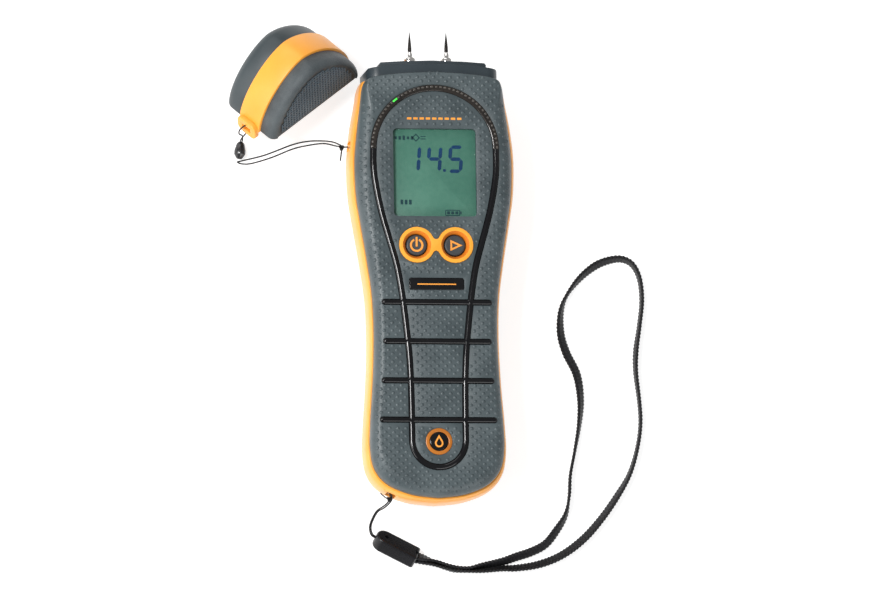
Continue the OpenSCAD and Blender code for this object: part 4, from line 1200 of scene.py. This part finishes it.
def makeCap(plan):
    out, top = plan["bandOut"], plan["thick"] / 2
    rim, turns = plan["frontRim"], [math.radians(10 * k) for k in range(10)]
    levels = [(plan["bandHigh"], out), (top - rim, out)]
    levels += [(top - rim * (1 - math.sin(a)), out + rim * (1 - math.cos(a))) for a in turns[1:]]
    front = domeLoft("capFront", plan, levels)
    cut(front, capHollow(plan))
    cut(front, domeLoft("faceRoom", plan, [(top - plan["faceDeep"], plan["faceInset"]),
                                           (top + 1, plan["faceInset"] - 0.3)]))
    softenEdges(front, 0.25, 2, 45)
    asLaid(front, plan)
    finished(front, "cap_front", "capDark", 40)

    rim = plan["rearRim"]
    levels = [(rim * (1 - math.cos(a)) - top, out + rim * (1 - math.sin(a))) for a in turns]
    rear = domeLoft("capRear", plan, levels + [(plan["bandLow"], out)])
    cut(rear, capHollow(plan))
    softenEdges(rear, 0.2, 2, 45)
    asLaid(rear, plan)
    finished(rear, "cap_rear", "capRear", 40)

    low, high = plan["bandLow"], plan["bandHigh"]
    band = domeLoft("capBand", plan, [(low, 0.4), (low + 0.15, 0.12), (low + 0.5, 0),
                                      (high - 0.5, 0), (high - 0.15, 0.12), (high, 0.4)])
    lugX, lugZ = -plan["wide"] / 2 - 0.4, (low + high) / 2
    lug = prism("lug", roundedBox((0, -0.5), 10.6, 8.2, 2.8, 8), lugX - 1.2, lugX + 1)
    lug.data.transform(Matrix(((0, 0, 1, 0), (0, 1, 0, 0), (-1, 0, 0, lugZ * mm), (0, 0, 0, 1))))
    softenEdges(lug, 0.4, 3)
    cut(band, lug, "UNION")
    cut(band, capHollow(plan))
    cut(band, block("slot", (lugX - 3, -1.9, lugZ - 2.4), (lugX + 5, 0.5, lugZ + 2.4)))
    softenEdges(band, 0.15, 2, 50)
    asLaid(band, plan)
    finished(band, "cap_band", "capOrange", 40)

    # The face: a sheet of cells, each with its own dimple.
    deselectAll()
    cells = int(plan["wide"] / plan["dimple"])
    bpy.ops.mesh.primitive_grid_add(x_subdivisions=cells, y_subdivisions=cells,
                                    size=cells * plan["dimple"] * mm,
                                    location=(0, 13.5 * mm, (top - plan["faceDeep"]) * mm))
    face = settle(named("capFace"))
    editAll(face)
    bpy.ops.mesh.select_mode(type="FACE")
    bpy.ops.mesh.select_all(action="DESELECT")
    leaveEdit()
    wide, tall = plan["wide"] / 2 - plan["faceInset"] - 0.7, plan["high"] - plan["faceInset"] - 0.7
    for polygon in face.data.polygons:
        x, y = polygon.center.x / mm, polygon.center.y / mm
        t = (abs(x) / wide) ** (2 / plan["power"]) + (max(y, 0) / tall) ** (2 / plan["power"])
        polygon.select = t > 0.93 or y < 0.9
    bpy.ops.object.mode_set(mode="EDIT")
    bpy.ops.mesh.delete(type="FACE")
    bpy.ops.mesh.select_all(action="SELECT")
    bpy.ops.mesh.inset(use_individual=True, thickness=0.29 * mm)
    bpy.ops.mesh.inset(use_individual=True, thickness=0.08 * mm, depth=-0.32 * mm)
    leaveEdit()
    dimples = [polygon.index for polygon in face.data.polygons if polygon.select]
    modify(face, "SOLIDIFY", thickness=0.4 * mm, offset=-1)
    face.data.transform(Matrix.Translation((0, 0, 0.38 * mm)))
    finished(asLaid(face, plan), "cap_front", "capFace", 30, replaces=False)
    # the dimples' floors are near-black, painted shade in the dimples
    face.data.materials.append(materials["paintedDimpleShade"])
    for index in dimples:
        face.data.polygons[index].material_index = 1

    liner = copyOf("capLiner", "cap_liner")
    editAll(liner)                     # loose triangles become whole flat faces again
    bpy.ops.mesh.dissolve_limited(angle_limit=math.radians(1))
    leaveEdit()
    softenEdges(liner, 0.3, 2)
    finished(liner, "cap_liner", "softRubber")


makeCap(capPlan)
print("cap made")

beadPlan = {"at": (-76.3, 57.4, 2.5), "turn": -6, "hole": 2.8, "sides": 10,
            "profile": [(1.0, 0), (1.35, 0.35), (2.4, 2.0), (2.4, 3.6), (1.7, 6.2), (1.15, 7.0),
                        (0.9, 7.1)]}
knotPlan = {"tether": ((-36.1, 57.4, 16.8), 1.3), "strap": ((-18.6, -88.6, 18.2), 1.25),
            "thick": 0.32,
            "strapTail": [(-18.6, -88.6, 18.2), (-20.2, -88.3, 19.6), (-21.6, -87.6, 21.2),
                          (-22.8, -86.9, 22.6)]}
blockPlan = {"at": (-22, -101.2), "turn": -27, "roll": -42, "low": 0.1, "high": 6.1, "wide": 8.0,
             "long": 19.0}


def makeBead(plan):
    bead = loft("tetherBead", circlePoints(plan["sides"], start=0.5), (0, 0),
                [(along - plan["hole"], r, r) for r, along in plan["profile"]])
    softenEdges(bead, 0.12, 2, 20)
    turn = (Matrix.Rotation(math.radians(plan["turn"]), 4, "Z")
            @ Matrix.Rotation(math.radians(-90), 4, "X"))
    bead.data.transform(Matrix.Translation(Vector(plan["at"]) * mm) @ turn)
    finished(bead, "tether_bead", "beadPlastic", 20)


def makeKnot(name, node, at, size, thick, tail=()):
    # A trefoil drawn tight.
    points = []
    for k in range(49):
        t = math.tau * k / 48
        points.append(Vector(at) + Vector((math.sin(t) + 2 * math.sin(2 * t),
                                           math.cos(t) - 2 * math.cos(2 * t),
                                           -math.sin(3 * t) * 1.2)) * (size - thick) / 3)
    knot = tubeAlong(name, points, [thick] * len(points), 10)
    if tail:
        path = curveThrough(tail, 5)
        knot = joined(name, [knot, tubeAlong("tail", path, [thick * 0.8] * len(path), 10)])
    finished(knot, node, "thinCord", 60)


def makeStrapBlock(plan):
    wide, long = plan["wide"], plan["long"]
    y = -1.5
    outline = [(3.9 + wide / 2 * math.cos(a), y + wide / 2 * math.sin(a)) for a in
               (math.radians(90 + 180 * k / 20) for k in range(21))]
    outline += [(long - 0.6, y - wide / 2), (long, y - wide / 2 + 0.6), (long, y + wide / 2 - 0.6),
                (long - 0.6, y + wide / 2)]
    body = prism("strapBlock", outline, plan["low"], plan["high"])
    softenEdges(body, 0.8, 4, 50)
    cut(body, drum("eye", (4.2, -1.6), -1, 9, 0.9, 32))
    cut(body, block("mouth", (long - 2.2, y - 2.6, 0.6), (long + 2, y + 2.6, 5.2)))
    cut(body, block("nick", (long - 1.6, y - 0.9, 4), (long + 2, y + 0.9, 8)))
    softenEdges(body, 0.15, 2, 60)
    middle = Matrix.Translation((0, y * mm, (plan["low"] + plan["high"]) / 2 * mm))
    body.data.transform(middle @ Matrix.Rotation(math.radians(plan["roll"]), 4, "X")
                        @ middle.inverted())
    lift = plan["low"] * mm - min(v.co.z for v in body.data.vertices)
    body.data.transform(Matrix.Translation((plan["at"][0] * mm, plan["at"][1] * mm, lift))
                        @ Matrix.Rotation(math.radians(plan["turn"]), 4, "Z"))
    smooth(body, 40)
    modify(body, "WEIGHTED_NORMAL", keep_sharp=True)
    finished(body, "strap_block", "blockTop", None)


makeBead(beadPlan)
makeKnot("tetherKnot", "tether_knot", *knotPlan["tether"], knotPlan["thick"])
makeKnot("strapKnot", "strap_knot", *knotPlan["strap"], knotPlan["thick"], knotPlan["strapTail"])
makeStrapBlock(blockPlan)
print("bead, knots and block made")

nodeFinish = {                         # the nodes that keep their own shape
    "boardGreen": ["led_board", "main_board", "sensor_board"],
    "plasticBlack": ["display_frame", "board_chips", "buzzer", "board_header", "probe_socket"],
    "milky": ["backlight"],
    "softRubber": ["zebra_strips", "pin_seals"],
    "steel": ["button_switches", "battery_contacts", "case_screws", "board_screws", "tether_pin",
              "strap_pin"],
    "copper": ["sensor_plate"],
    "brass": ["pin_sockets"],
    "markOrange": ["printed_marks"],
    "cellJacket": ["batteries"],
}
for finishName, nodeNames in nodeFinish.items():
    for node in nodeNames:
        data = frame["nodes"][node].data
        data.materials.clear()
        data.materials.append(materials[finishName])
print("other nodes finished:", sum(map(len, nodeFinish.values())))
